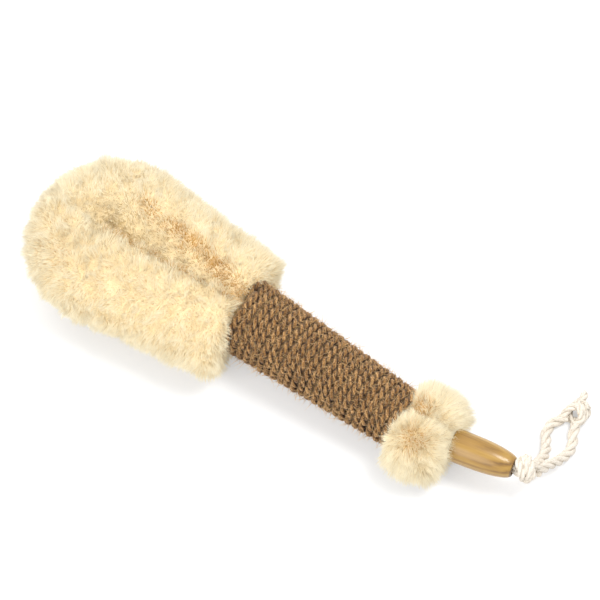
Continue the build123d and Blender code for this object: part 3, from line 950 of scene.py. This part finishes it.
@dataclass
class Mass:
    """Bound fibre, built up ring by ring, in millimetres."""

    rings: list = field(default_factory=list)
    fields: dict = field(default_factory=dict)

    def add(self, ring: np.ndarray, **values: np.ndarray) -> None:
        """Adds a ring.

        Args:
            ring: Its points.
            values: The comb, reach, gold, shade and grow of each of them.
        """
        self.rings.append(ring)
        for label, value in values.items():
            self.fields.setdefault(label, []).append(value)

    def mesh(self, name: str, tips: Sequence[Any] = (0.0, 0.0)) -> bpy.types.Mesh:
        """Closes the rings to a mesh, with attributes for its fibres.

        Args:
            name: The mesh's name.
            tips: Offsets of the two poles from the middles of the first and the last ring.

        Returns:
            The mesh, its faces outward.
        """
        grid = np.array(self.rings)
        rings, count = grid.shape[:2]
        poles = [(grid[i].mean(axis=0) + tip) * MM for i, tip in zip((0, -1), tips)]
        points = [tuple(p) for p in (grid * MM).reshape(-1, 3)] + [tuple(p) for p in poles]
        faces = [face for i in range(rings - 1) for face in band(i, i + 1, count)]
        first, last, end = rings * count, rings * count + 1, (rings - 1) * count
        for k in range(count):
            n = (k + 1) % count
            faces += [(first, n, k), (last, end + k, end + n)]
        mesh = closed_mesh(name, points, faces)
        for label, rows in self.fields.items():
            values = np.array(rows) * (MM if label == "reach" else 1.0)
            ends = np.stack([values[0].mean(axis=0), values[-1].mean(axis=0)])
            flat = np.concatenate([values.reshape(-1, *values.shape[2:]), ends])
            kind, key = (VECTOR, "vector") if values.ndim == 3 else ("FLOAT", "value")
            layer = mesh.attributes.new(label, kind, "POINT")
            layer.data.foreach_set(key, flat.astype(np.float32).ravel())
        return mesh


def smooth_line(points: Sequence[Sequence[float]], step: int = 16) -> np.ndarray:
    """A smooth line through given points.

    Args:
        points: The points, in metres.
        step: Divisions of each stretch.

    Returns:
        The line's points.
    """
    p = np.array(points, dtype=float)
    p = np.vstack([2 * p[0] - p[1], p, 2 * p[-1] - p[-2]])
    out = []
    for a, b, c, d in zip(p, p[1:], p[2:], p[3:]):
        t = np.linspace(0, 1, step, endpoint=False)[:, None]
        out.append(0.5 * (2 * b + (c - a) * t + (2 * a - 5 * b + 4 * c - d) * t**2
                          + (3 * b - a - 3 * c + d) * t**3))
    return np.vstack(out + [p[-2:-1]])


# ---- the brush's own measures


@dataclass(frozen=True)
class Layout:
    """Places that the sub-assemblies share, in millimetres."""

    head_reach: float = 29.5
    head_z: float = 29.0
    bend_x: float = -107.209
    bend_r: float = 24.0
    lean: float = math.radians(9.98)
    arm_len: float = 81.575
    grip_a: tuple = (-19.709, 0.0, 29.0)
    grip_b: tuple = (90.291, -4.9, 21.5)
    grip_start_r: float = 21.0
    grip_end_r: float = 16.2
    rope_turns: int = 24
    rope_pitch: float = 4.55
    rope_start: float = math.radians(35.0)
    bead_a: tuple = (121.342, -2.957, 21.5)
    bead_b: tuple = (159.883, 3.009, 21.5)

    def bend(self, out: np.ndarray) -> np.ndarray:
        """Point of the wire's front bend in this direction from the bend's centre."""
        return np.array([self.bend_x, 0.0, self.head_z]) + out * self.bend_r

    def arm_ways(self, side: Side) -> tuple[np.ndarray, np.ndarray]:
        """An arm's own directions.

        Args:
            side: Which arm.

        Returns:
            The direction away from the groove, and the one along the arm to the grip.
        """
        sine, cosine = math.sin(self.lean), math.cos(self.lean)
        return (np.array([sine, side.value * cosine, 0.0]),
                np.array([cosine, -side.value * sine, 0.0]))

    def arm(self, side: Side, s: float) -> np.ndarray:
        """Point of an arm's wire, s along it from the front bend."""
        out, way = self.arm_ways(side)
        return self.bend(out) + s * way

    def grip_axes(self) -> tuple[np.ndarray, np.ndarray, np.ndarray]:
        """The grip's own directions.

        Returns:
            The directions along it, to the far side, and up.
        """
        along = unit(np.array(self.grip_b) - np.array(self.grip_a))
        beside = unit(np.cross(UP, along))
        return along, beside, np.cross(along, beside)

    def grip(self, u: Any, v: Any, w: Any) -> np.ndarray:
        """Points of the grip.

        Args:
            u, v, w: How far along it, to the far side, and up, as numbers or as rows of them.

        Returns:
            The points.
        """
        point = np.array(self.grip_a)
        for share, axis in zip((u, v, w), self.grip_axes()):
            point = point + np.asarray(share)[..., None] * axis
        return point

    def grip_r(self, place: Any, whole: float) -> Any:
        """Radius of the rope's line at a place along the grip, counted in parts of the whole."""
        return self.grip_start_r + (self.grip_end_r - self.grip_start_r) * place / whole

    def bead_ways(self) -> tuple[np.ndarray, np.ndarray, np.ndarray]:
        """The bead's own frame.

        Returns:
            The middle of its inner face, and the directions along its axis and beside it.
        """
        a = np.array(self.bead_a)
        way = unit(np.array(self.bead_b) - a)
        return a, way, np.array([-way[1], way[0], 0.0])

    def bead(self, s: float, beside: float, rise: float) -> np.ndarray:
        """Point in the bead's own frame: s along its axis from the inner face."""
        a, way, across = self.bead_ways()
        return a + way * s + across * beside + UP * rise

    def tip(self, x: float, y: float, z: float) -> tuple[float, float, float]:
        """Point measured from the bead's tip, z over the table."""
        return (self.bead_b[0] + x, self.bead_b[1] + y, z)


LAYOUT = Layout()


def grow_half(coat: Coat, side: Side, part: str, mass: Mass, count: int, seed: int,
              tips: Sequence[Any] = (0.0, 0.0)) -> list[bpy.types.Object]:
    """Grows the fibres of one side's part, whose names follow from both.

    Args:
        coat: The coat that grows.
        side: Which side.
        part: What the names call the part.
        mass: Its bound fibre.
        count: How many fibres.
        seed: For all that is random, and one more or less for the side.
        tips: Offsets of the mass's poles.

    Returns:
        The part's core and its fibres.
    """
    name = f"{side.label}_{part}"
    return coat.grow(name + "_fibre", mass.mesh(name + "_mass", tips), count,
                     [name + "_bristles"], seed + side.value)


# ---- the head's bristles


@dataclass
class Station:
    """One ring of the head's mass, round a point of the wire."""

    centre: np.ndarray
    out: np.ndarray
    fuller: float = 0.0
    size: float = 1.0
    tilt: float = 0.0
    growth: float = 1.0
    bent: bool = False


@dataclass
class BristleHead:
    """The two arms and the front bend of the head."""

    coat: Coat
    mass_share: float = 0.85
    overlap: float = 0.2
    bend_gap: float = 0.4
    table_gap: float = 0.6
    groove_slant: float = 0.24
    groove_width: float = 14.0
    groove_reach: float = 5.0
    groove_shade_gold: float = 0.45
    least_reach: float = 4.4
    groove_top: float = 38.0
    groove_skin: float = 0.5
    least_room: float = 2.0
    lowest: float = 0.8
    sparse: float = 0.12
    below: float = -0.6
    under: float = 0.4
    arm_fibres: int = 24000
    front_fibres: int = 22000
    around: int = 48
    crown: dict[Side, float] = by_side(3.3, 2.7)
    fuller: dict[Side, float] = by_side(7.0, 3.0)
    overhang: dict[Side, float] = by_side(1.25, 0.8)
    press: dict[Side, float] = by_side(1.1, 0.9)
    shade: dict[Side, float] = by_side(0.35, 0.85)

    def add_ring(self, mass: Mass, side: Side, station: Station) -> None:
        """Adds one ring round the wire to the mass.

        Args:
            mass: The mass that is being built.
            side: Which half of the head.
            station: Where the ring is and what changes there.
        """
        centre, sign, angles = station.centre, side.value, ring_angles(self.around)
        cosine, sine = np.cos(angles), np.sin(angles)
        radial = cosine[:, None] * station.out + sine[:, None] * UP
        reach = np.full(angles.shape, LAYOUT.head_reach)
        power = self.crown[side]
        crown = (np.abs(cosine) ** power + np.abs(sine) ** power) ** (-1 / power)
        reach = np.where((cosine < 0) & (sine > 0), reach * crown, reach)
        outward = np.clip(cosine, 0, 1) * np.clip(1.2 - np.clip(sine, 0, 1) * 1.3, 0, 1)
        reach = reach + station.fuller * outward
        # the two halves meet in the middle, and the bend's rings on its axis
        room = room_to(sign * centre[1] + self.overlap, -sign * radial[:, 1])
        if station.bent:
            room = np.minimum(room, room_to(LAYOUT.bend_r - self.bend_gap, -cosine))
        deep = room < reach
        reach = np.minimum(reach, np.maximum(room, self.least_room))
        reach = np.minimum(reach, room_to(centre[2] - self.table_gap, -radial[:, 2]))
        inner = np.where(deep, reach - self.groove_skin, reach * self.mass_share)
        ring = centre + radial * inner[:, None]
        # the groove's plane is slanted, its upper edge towards the near side
        close = bell(ring[:, 1], 0.0, self.groove_width)
        ring[:, 1] -= self.groove_slant * (ring[:, 2] - LAYOUT.head_z) * close
        ring[:, 2] = np.maximum(ring[:, 2], self.lowest)
        # the inner fibres are pressed up out of the groove, and some lean over the arm's end
        press = np.clip(-cosine, 0, 1)[:, None] * UP * self.press[side]
        comb = unit(radial + press * (radial[:, 2:3] > -0.3))
        way = np.array([-station.out[1], station.out[0], 0.0]) * -sign
        # hardly any fibres grow deep in the groove, and less than half as many underneath
        grow = (np.where(deep & (ring[:, 2] < self.groove_top), self.sparse, 1.0)
                * np.where(sine < self.below, self.under, 1.0))
        mass.add(centre + (ring - centre) * station.size,
                 comb=unit(comb + way * station.tilt),
                 reach=np.where(deep, self.groove_reach,
                                np.maximum(reach - inner, self.least_reach)),
                 # painted shade: golden strands, brown at the roots, line the groove
                 gold=np.maximum(self.gold_of(side, angles, centre[0]),
                                 np.where(deep, self.groove_shade_gold, 0.0)),
                 # partly painted shade: dull strands gather on the flank that faces inward, among
                 # some real tan ones
                 shade=np.clip(-cosine * 1.4, 0, 1) * self.shade[side],
                 grow=grow * station.growth)

    def gold_of(self, side: Side, angles: np.ndarray, x: float) -> np.ndarray:
        """How many of the fibres are golden.

        Args:
            side: Which half of the head.
            angles: Angles above the outward direction.
            x: The wire's place along the brush.

        Returns:
            A share for each angle, highest where the fibres part over the far wire.
        """
        degrees = np.degrees(angles)
        if side is Side.NEAR:
            return 0.13 * bell(degrees, 60.0, 40.0)
        along = 1 / (1 + math.exp((-84.0 - x) / 7.0)) * 0.75 + 0.25 * bell(x, -96.0, 9.0)
        ragged = 1.45 + 0.4 * math.sin(x * 0.5) * math.sin(x * 0.19 + 2)
        return np.minimum(bell(degrees, 97.0, 10.5) * along * ragged, 1.0)

    def arm(self, side: Side) -> list[bpy.types.Object]:
        """Builds one arm of the head.

        Args:
            side: Which arm.

        Returns:
            Its core and its fibres.
        """
        out, way = LAYOUT.arm_ways(side)
        end, over = LAYOUT.arm_len, self.overhang[side]
        # place along the arm, size, tilt and growth
        rows = [(s, 1.0, 0.0, float(s >= 0))
                for s in (-2.5, -0.1, 0.0, *np.linspace(4, end - 8, 16))]
        rows += [(end - 4.5, 1.0, 0.12 * over, 1.0), (end - 1.5, 0.97, 0.38 * over, 1.0),
                 (end + 0.6, 0.88, 0.75 * over, 1.0), (end + 1.4, 0.62, 1.6, 0.5)]
        mass = Mass()
        for s, size, tilt, growth in rows:
            fuller = self.fuller[side] * max(0.0, s / end) ** 1.4
            self.add_ring(mass, side,
                          Station(LAYOUT.arm(side, s), out, fuller, size, tilt, growth))
        return grow_half(self.coat, side, "arm", mass, self.arm_fibres, 11, (way * 0, way * 0.4))

    def front(self, side: Side) -> list[bpy.types.Object]:
        """Builds one half of the front bend.

        Args:
            side: Which half.

        Returns:
            Its core and its fibres.
        """
        sweep = math.pi / 2 + LAYOUT.lean
        mass = Mass()
        # the last rings lie inside the arm and grow nothing
        for turn in (0.0, *np.linspace(0.12, sweep, 14), sweep + 0.002, sweep + 0.08):
            out = np.array([-math.cos(turn), side.value * math.sin(turn), 0.0])
            self.add_ring(mass, side, Station(LAYOUT.bend(out), out, bent=True,
                                              growth=float(turn <= sweep)))
        return grow_half(self.coat, side, "front", mass, self.front_fibres, 31)

    def build(self) -> list[bpy.types.Object]:
        """Builds the two arms and the two halves of the bend."""
        return [piece for side in Side for piece in self.arm(side) + self.front(side)]


# ---- collar


@dataclass
class Collar:
    """The two pompom lobes over the bead's base."""

    coat: Coat
    half: float = 8.0
    gap: float = 0.2
    fibres: int = 15000
    around: int = 40
    spike: float = 8.0
    inner_reach: float = 5.0
    stations: int = 18
    roundness: float = 0.42
    lowest: float = 1.0
    gold_width: float = 26.0
    gold_depth: float = 0.17
    gold_most: float = 0.8
    shade: float = 0.25
    below: float = -0.6
    under: float = 0.4
    thick: dict[Side, float] = by_side(16.6, 15.4)
    length: dict[Side, float] = by_side(27.5, 26.0)
    gold_at: dict[Side, float] = by_side(68.0, 108.0)
    gold_behind: dict[Side, float] = by_side(0.5, 0.34)

    def lobe(self, side: Side) -> list[bpy.types.Object]:
        """Builds one lobe.

        Args:
            side: Which lobe.

        Returns:
            Its core and its fibres.
        """
        x0, y0, z0 = LAYOUT.grip_b
        angles = ring_angles(self.around)
        cosine, sine = np.cos(angles), np.sin(angles)
        out, ahead = np.array([0.0, float(side.value), 0.0]), np.array([1.0, 0.0, 0.0])
        radial = cosine[:, None] * out + sine[:, None] * UP
        inward = np.clip(-cosine, 0, 1)
        room = room_to(self.half - self.gap, inward)
        parting = bell(np.degrees(angles), self.gold_at[side], self.gold_width)
        mass = Mass()
        for share in np.linspace(0.03, 0.985, self.stations):
            polar = math.pi * share
            thick = self.thick[side] * math.sin(polar) ** self.roundness
            x = x0 + 1.0 + self.length[side] * 0.5 * (1 - math.cos(polar))
            ring = np.array([x, y0 + side.value * self.half, z0])
            ring = ring + radial * np.minimum(thick, room)[:, None]
            ring[:, 2] = np.maximum(ring[:, 2], self.lowest)
            # the fibres stand straight off behind, and reach forward over the bead in front
            tilt = -0.25 + 1.35 * share ** 1.3
            comb = unit(radial * math.cos(tilt) + ahead * math.sin(tilt)
                        + inward[:, None] * (UP * 0.7 + ahead * 0.2))
            mass.add(ring, comb=comb,
                     reach=np.where((inward > 0.4) & (share < 0.8), self.inner_reach,
                                    self.spike),
                     gold=(parting * self.gold_most
                           * bell(share, self.gold_behind[side], self.gold_depth)),
                     # painted shade: dull strands gather where the lobes face each other
                     shade=inward * self.shade,
                     grow=np.where(sine < self.below, self.under, 1.0))
        return grow_half(self.coat, side, "collar", mass, self.fibres, 51)

    def build(self) -> list[bpy.types.Object]:
        """Builds both lobes."""
        return [piece for side in Side for piece in self.lobe(side)]


# ---- grip


@dataclass
class Grip:
    """The pressed fibre of the grip and the rope wound round it."""

    coat: Coat
    rope: Lay
    under: float = 1.9
    fibres: int = 3000
    around: int = 40
    stations: int = 22
    divisions: int = 72
    # size, pace and start of each wave
    wander: tuple = ((0.22, 2.3, 0.6), (0.16, 5.1, 0.0), (0.1, 13.7, 1.1))
    swell: tuple = ((0.14, 3.7, 0.0), (0.12, 17.3, 0.0))

    def fibre(self) -> list[bpy.types.Object]:
        """Builds the pressed fibre under the rope.

        Returns:
            Its core and its fibres.
        """
        angles = np.linspace(0, 2 * math.pi, self.around, endpoint=False)
        along = LAYOUT.grip_axes()[0]
        total = LAYOUT.rope_turns * LAYOUT.rope_pitch
        mass, plain = Mass(), np.zeros(angles.shape)
        for u in np.linspace(0.5, total + 0.5, self.stations):
            wave = waved(0.0, angles, ((0.25, 9, u), (0.2, 5, -u * 0.7)))
            r = LAYOUT.grip_r(u, total) - self.under + wave
            ring = LAYOUT.grip(u, r * np.sin(angles), r * np.cos(angles))
            # the fibres point to the nearer end of the grip
            comb = unit(unit(ring - LAYOUT.grip(u, 0.0, 0.0))
                        - along * (2.0 if u < total / 2 else -2.0))
            # painted shade: many dull strands on the fibre between the rope's turns
            mass.add(ring, comb=comb, reach=plain + 0.9, gold=plain + 0.2, shade=plain + 0.6,
                     grow=plain + 1.0)
        mesh = mass.mesh("grip_fibre_mass", (along * 0.2, along * -0.2))
        return self.coat.grow("grip_fibre", mesh, self.fibres,
                              ["grip_fibre_near", "grip_fibre_far"],
                              seed=71, lean=0.0003, sway=0.0002)

    def winding(self) -> bpy.types.Object:
        """Builds the rope as laid plies along its winding.

        Returns:
            The rope's piece.
        """
        turns = np.linspace(0, LAYOUT.rope_turns, LAYOUT.rope_turns * self.divisions + 1)
        angle = LAYOUT.rope_start + 2 * math.pi * turns
        # a hand-wound rope wanders along the grip, and stands off it a little here and there
        wander = waved(0.0, turns, self.wander) - 0.5 * np.exp(-turns * 1.2)
        radius = waved(LAYOUT.grip_r(turns, LAYOUT.rope_turns), turns, self.swell)
        line = LAYOUT.grip(turns * LAYOUT.rope_pitch + wander,
                           radius * np.sin(angle), radius * np.cos(angle))
        tail = line[-1] + unit(line[-1] - line[-2]) * np.linspace(0.4, 4.6, 9)[:, None]
        lead = line[0] - unit(line[1] - line[0]) * np.linspace(6.0, 0.5, 9)[:, None]
        # the rope's start is tucked under, towards the axis where the grip begins
        centre = np.array(LAYOUT.grip_a)
        lead = lead + (centre - lead) * np.linspace(0.55, 0.0, 9)[:, None] ** 1.2
        line = np.vstack([lead, line, tail])
        along = LAYOUT.grip_axes()[0]
        away = line - centre
        outward = unit(away - (away @ along)[:, None] * along)
        mesh = self.rope.twist("rope_winding_laid", [line * MM], outward, open=0.1, step=0.0008,
                               ply=0.00111, offset=0.00104, lay=-0.0098, sides=8,
                               twist=520.0, hairs=1.5e5, hair=0.0072, fine=0.00016, seed=81)
        return place_piece("rope_winding_laid", mesh, Body.BRUSH, ["rope_winding"])

    def build(self) -> list[bpy.types.Object]:
        """Builds the fibre and the rope."""
        return [*self.fibre(), self.winding()]


# ---- bead


@dataclass
class EndBead:
    """The turned wooden bead."""

    finish: WoodFinish = field(default_factory=WoodFinish)
    segments: int = 96
    outline: tuple = (
        # distance along the axis, radius
        (0.7, 4.3), (0.25, 4.5), (0.0, 4.9), (0.0, 6.6), (0.0, 8.5), (0.12, 8.95), (0.4, 9.28),
        (0.9, 9.45), (2.0, 9.52), (6.0, 9.58), (11.0, 9.55), (16.0, 9.45), (21.0, 9.2),
        (25.5, 8.8), (29.0, 8.25), (31.8, 7.65), (33.8, 7.1), (35.3, 6.5), (36.3, 5.9),
        (36.8, 5.5), (37.0, 5.2), (36.9, 4.9), (36.5, 4.6), (35.6, 4.4), (28.0, 4.3),
        (16.0, 4.3), (6.0, 4.3))

    def build(self) -> bpy.types.Object:
        """Builds the bead as a ring of turned sections.

        Returns:
            The bead's piece.
        """
        a, way, beside = LAYOUT.bead_ways()
        turn = np.linspace(0, 2 * math.pi, self.segments, endpoint=False)
        ring = np.cos(turn)[:, None] * beside + np.sin(turn)[:, None] * UP
        points = [tuple((a + way * s + spoke * r) * MM) for s, r in self.outline
                  for spoke in ring]
        rows = len(self.outline)
        faces = [face for i in range(rows) for face in band(i, (i + 1) % rows, self.segments)]
        mesh = closed_mesh("turned_bead", points, faces)
        mesh.shade_smooth()
        mesh.materials.append(self.finish.make())
        return place_piece("turned_bead", mesh, Body.BEAD, ["end_bead"])


# ---- hanging cord


@dataclass(frozen=True)
class Tie:
    """A knot or a short stretch of the cord, laid along given lines."""

    name: str
    node: str
    seed: int
    at: Any
    origin: tuple
    loops: tuple
    ply: float = 0.00118

    def lines(self) -> list[np.ndarray]:
        """The smooth lines in metres, in the frame of the model."""
        return [smooth_line(np.array([self.at(*np.add(self.origin, p)) for p in loop]) * MM)
                for loop in self.loops]


@dataclass
class HangingCord:
    """The doubled cotton cord: bight, two legs, two knots and the cut end."""

    yarn: Lay
    diameter: float = 0.0046
    length: dict[Side, float] = by_side(0.0527, 0.0545)
    near_points: tuple = (
        (9.6, 4.6, 19.6), (11.3, 15.9, 13.0), (13.4, 21.9, 8.5), (14.5, 28.7, 4.6),
        (15.2, 34.9, 2.8), (13.5, 40.8, 2.4), (10.4, 45.6, 2.6), (9.4, 51.0, 4.2))
    far_points: tuple = (
        (5.0, 5.2, 19.0), (6.2, 13.0, 13.6), (5.4, 21.7, 7.4), (2.7, 29.3, 3.8),
        (-1.4, 35.1, 2.6), (-3.2, 41.0, 2.4), (-1.6, 46.6, 2.8), (2.6, 51.5, 4.2))
    ties: tuple = (
        # the knot against the bead's tip
        Tie("bead_knot_tied", "bead_knot", 97, LAYOUT.bead, (37.4, 1.6, 0.6), (
            ((0.6, 1.6, 2.0), (2.6, -1.5, 5.2), (5.6, -5.2, 2.6), (6.8, -5.0, -2.2),
             (5.2, -1.4, -5.4), (3.6, 3.2, -4.4), (3.6, 5.6, 0.4), (5.2, 4.4, 4.4),
             (8.2, 0.6, 5.4), (10.4, -2.6, 2.6), (10.8, -1.8, -1.4), (9.6, 2.2, -2.2)),
            ((0.6, -1.6, -2.0), (3.0, -3.4, -1.2), (6.0, -2.0, 1.0), (9.0, 1.2, 1.6),
             (11.0, 3.6, 0.6), (11.6, 5.2, -0.6)),
            ((1.4, 0.4, -3.4), (2.4, 3.8, -2.4), (2.6, 4.6, 1.6), (4.4, 2.0, 5.0),
             (7.8, -2.2, 5.2), (9.4, -4.6, 1.4), (8.4, -4.4, -2.8), (6.0, -0.8, -4.8)))),
        # the looser knot at the end of the loop
        Tie("end_knot_tied", "end_knot", 98, LAYOUT.tip, (6.2, 56.5, 5.4), (
            ((-4.6, -6.4, -1.0), (-4.8, -2.6, 1.6), (-2.0, 1.0, 3.8), (2.4, 2.2, 3.4),
             (5.2, 0.2, 0.8), (4.2, -3.0, -1.8), (0.2, -4.2, -2.4), (-3.4, -2.4, -2.6),
             (-4.6, 1.6, -2.0), (-2.6, 5.0, -0.4), (1.4, 6.0, 1.4), (4.6, 4.6, 1.2)),
            ((3.4, -6.4, -1.2), (4.6, -3.0, 1.4), (2.6, 0.0, 4.0), (-1.4, 3.4, 3.2),
             (-2.4, 6.4, 0.4), (0.8, 7.4, -1.6), (4.0, 5.4, -2.2), (5.6, 1.8, -2.0)))),
        # the cord round the wire's eye and through the bead
        Tie("cord_bight_laid", "cord_bight", 99, LAYOUT.bead, (0.0, 0.0, 0.0), (
            ((39.3, 0, 2.0), (20.0, 0, 2.0), (1.0, 0, 2.0), (-3.0, 0, 3.4), (-6.6, 0, 3.2),
             (-8.4, 0, 0.0), (-6.6, 0, -3.2), (-3.0, 0, -3.4), (1.0, 0, -2.0),
             (20.0, 0, -2.0), (39.3, 0, -2.0)),), ply=0.00095),
        # the cord's cut end beyond the knot
        Tie("cord_tail_cut", "cord_tail", 100, LAYOUT.tip, (0.0, 0.0, 0.0), (
            ((5.6, 60.0, 4.8), (5.2, 64.0, 4.2), (4.4, 68.0, 3.4), (3.2, 71.3, 3.0)),)))

    def route(self, name: str, points: Sequence[tuple]) -> np.ndarray:
        """The points of a leg's own smooth line.

        Args:
            name: The leg's name.
            points: The route from the bead's tip, in millimetres.

        Returns:
            The centre line, in metres.
        """
        curve = bpy.data.curves.new(name + "_route", "CURVE")
        curve.dimensions = "3D"
        curve.resolution_u = 12
        spline = curve.splines.new("NURBS")
        spline.points.add(len(points) - 1)
        for point, place in zip(spline.points, points):
            point.co = (*(Vector(LAYOUT.tip(*place)) * MM), 1.0)
        spline.order_u = 3
        spline.use_endpoint_u = True
        obj = show(bpy.data.objects.new(name + "_route", curve))
        line = np.array([tuple(v.co) for v in evaluated(obj).vertices])
        bpy.data.objects.remove(obj)
        return line

    def laid(self, name: str, lines: Sequence[np.ndarray], node: str,
             **values: Any) -> bpy.types.Object:
        """Lays the yarn along lines as a piece.

        Args:
            name: The piece's name.
            lines: The points of each line, in metres.
            node: The CAD node that it stands for.
            values: What differs between the cord's pieces.

        Returns:
            The piece.
        """
        mesh = self.yarn.twist(name, lines, step=0.0006, sides=12, hairs=9e4, fine=0.00005,
                               **values)
        return place_piece(name, mesh, Body.BRUSH, [node])

    def leg(self, side: Side, points: Sequence[tuple]) -> bpy.types.Object:
        """Builds one leg of the loop as laid yarn.

        Args:
            side: Which leg.
            points: Its route.

        Returns:
            The leg's piece.
        """
        name = "cord_leg_" + side.label
        line = self.route(name, points)
        piece = self.laid(name, [line], "loop_leg_" + side.label, ply=0.00150, offset=0.00165,
                          lay=0.021, twist=260.0, hair=0.0016, seed=91 + side.value)
        length = float(np.linalg.norm(np.diff(line, axis=0), axis=1).sum())
        log.info("%s: %.1f mm long", name, length / MM)
        return piece

    def build(self) -> list[bpy.types.Object]:
        """Builds the cord's pieces.

        Returns:
            Its two legs, its two knots, the bight and the cut end.
        """
        bead_knot, end_knot, bight, tail = tied = [
            self.laid(tie.name, tie.lines(), tie.node, ply=tie.ply, offset=tie.ply * 1.04,
                      lay=0.015, twist=300.0, hair=0.0014, seed=tie.seed) for tie in self.ties]
        near = self.leg(Side.NEAR, self.near_points)
        far = self.leg(Side.FAR, self.far_points)
        return [near, far, *tied]


# ---- studio


@dataclass
class Studio:
    """Floor, light and camera."""

    heading: float = 32.63
    elevation: float = 60.0
    target: tuple = (-0.0004, 0.0293, 0.0215)
    distance: float = 2.0
    lens: float = 210.0
    floor_half: float = 3.0
    floor_grey: tuple = (0.62, 0.62, 0.62, 1.0)
    floor_glow: float = 0.40
    sky_lit: float = 0.66
    sky_seen: float = 0.34
    lamps: tuple = (
        # name, place, size, power
        ("key_lamp", (0.62, 0.42, 1.75), 0.75, 17.0),
        ("fill_lamp", (-0.20, -1.50, 0.95), 1.8, 19.0),
        ("rim_lamp", (-1.30, 0.75, 1.0), 1.8, 16.0))

    def camera(self) -> bpy.types.Object:
        """Sets the camera at the photograph's angle.

        Returns:
            The camera.
        """
        h, e = math.radians(self.heading), math.radians(self.elevation)
        right = Vector((math.cos(h), math.sin(h), 0.0))
        back = Vector((math.cos(e) * math.sin(h), -math.cos(e) * math.cos(h), math.sin(e)))
        turn = Matrix((right, back.cross(right), back)).transposed().to_4x4()
        data = bpy.data.cameras.new("studio_camera")
        data.lens = self.lens
        data.sensor_width = 36.0
        data.clip_start, data.clip_end = 0.1, 20.0
        obj = show(bpy.data.objects.new("studio_camera", data))
        obj.matrix_world = Matrix.Translation(Vector(self.target) + back * self.distance) @ turn
        bpy.context.scene.camera = obj
        return obj

    def floor(self) -> bpy.types.Object:
        """Lays a pale floor that shows white and keeps the soft shadow.

        Returns:
            The floor.
        """
        mesh = bpy.data.meshes.new("studio_floor")
        h = self.floor_half
        mesh.from_pydata([(-h, -h, 0), (h, -h, 0), (h, h, 0), (-h, h, 0)], [], [(0, 1, 2, 3)])
        obj = show(bpy.data.objects.new("studio_floor", mesh))
        material = bpy.data.materials.new("studio_floor")
        g = emptied(material)
        rays = g.add("ShaderNodeLightPath").outputs
        mirrored = g.math("MAXIMUM", rays["Is Glossy Ray"], rays["Is Transmission Ray"])
        seen = g.math("MAXIMUM", rays["Is Camera Ray"], mirrored)
        plain = g.made("ShaderNodeBsdfDiffuse", {"Color": self.floor_grey})
        glow = g.made("ShaderNodeEmission", {"Color": WHITE,
                                             "Strength": g.times(seen, self.floor_glow)})
        both = g.made("ShaderNodeAddShader", {0: plain, 1: glow})
        g.add("ShaderNodeOutputMaterial", {"Surface": both})
        mesh.materials.append(material)
        return obj

    def light(self) -> None:
        """Sets a soft lamp at the right of the view, two wide lamps and a pale world."""
        world = bpy.data.worlds.new("studio_world")
        g = emptied(world)
        rays = g.add("ShaderNodeLightPath").outputs
        seen = g.math("MAXIMUM", rays["Is Camera Ray"], rays["Is Glossy Ray"])
        strength = g.plus(self.sky_lit, g.times(seen, self.sky_seen))
        sky = g.made("ShaderNodeBackground", {"Color": WHITE, "Strength": strength})
        g.add("ShaderNodeOutputWorld", {"Surface": sky})
        bpy.context.scene.world = world
        for name, place, size, power in self.lamps:
            data = bpy.data.lights.new(name, "AREA")
            data.shape = "DISK"
            data.size = size
            data.energy = power
            obj = show(bpy.data.objects.new(name, data))
            obj.location = place
            obj.rotation_euler = (-Vector(place)).to_track_quat("-Z", "Y").to_euler()

    def build(self) -> None:
        """Sets the whole studio."""
        self.camera()
        self.floor()
        self.light()
        bpy.context.scene.view_settings.view_transform = "Standard"


# ---- all together


def dress_wire() -> None:
    """Gives the CAD wire its drawn steel."""
    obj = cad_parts["core_wire"]
    steel = SteelFinish().make()
    if not obj.material_slots:
        obj.data.materials.append(steel)
    for slot in obj.material_slots:
        slot.material = steel
    log.info("core_wire: kept from the CAD")


def main() -> None:
    """Builds the studio, the cord, and then every other sub-assembly."""
    logging.basicConfig(level=logging.INFO, format="%(name)s %(message)s")
    bristle = FibreFinish().make()
    Studio().build()
    coat = Coat(bristle)
    # painted shade: the fibre that shows between the rope's turns has a dark finish
    pressed = Coat(FibreFinish("pressed_fibre_shaded", tint(112, 84, 52), tint(138, 108, 70),
                               tint(158, 128, 88)).make())
    cotton = Lay("laid_cotton", 3, COTTON.make())
    sisal = Lay("laid_sisal", 2, SISAL.make())
    HangingCord(cotton).build()
    BristleHead(coat).build()
    Collar(Coat(bristle, 0.3)).build()
    Grip(pressed, sisal).build()
    EndBead().build()
    dress_wire()


if __name__ == "__main__":
    main()
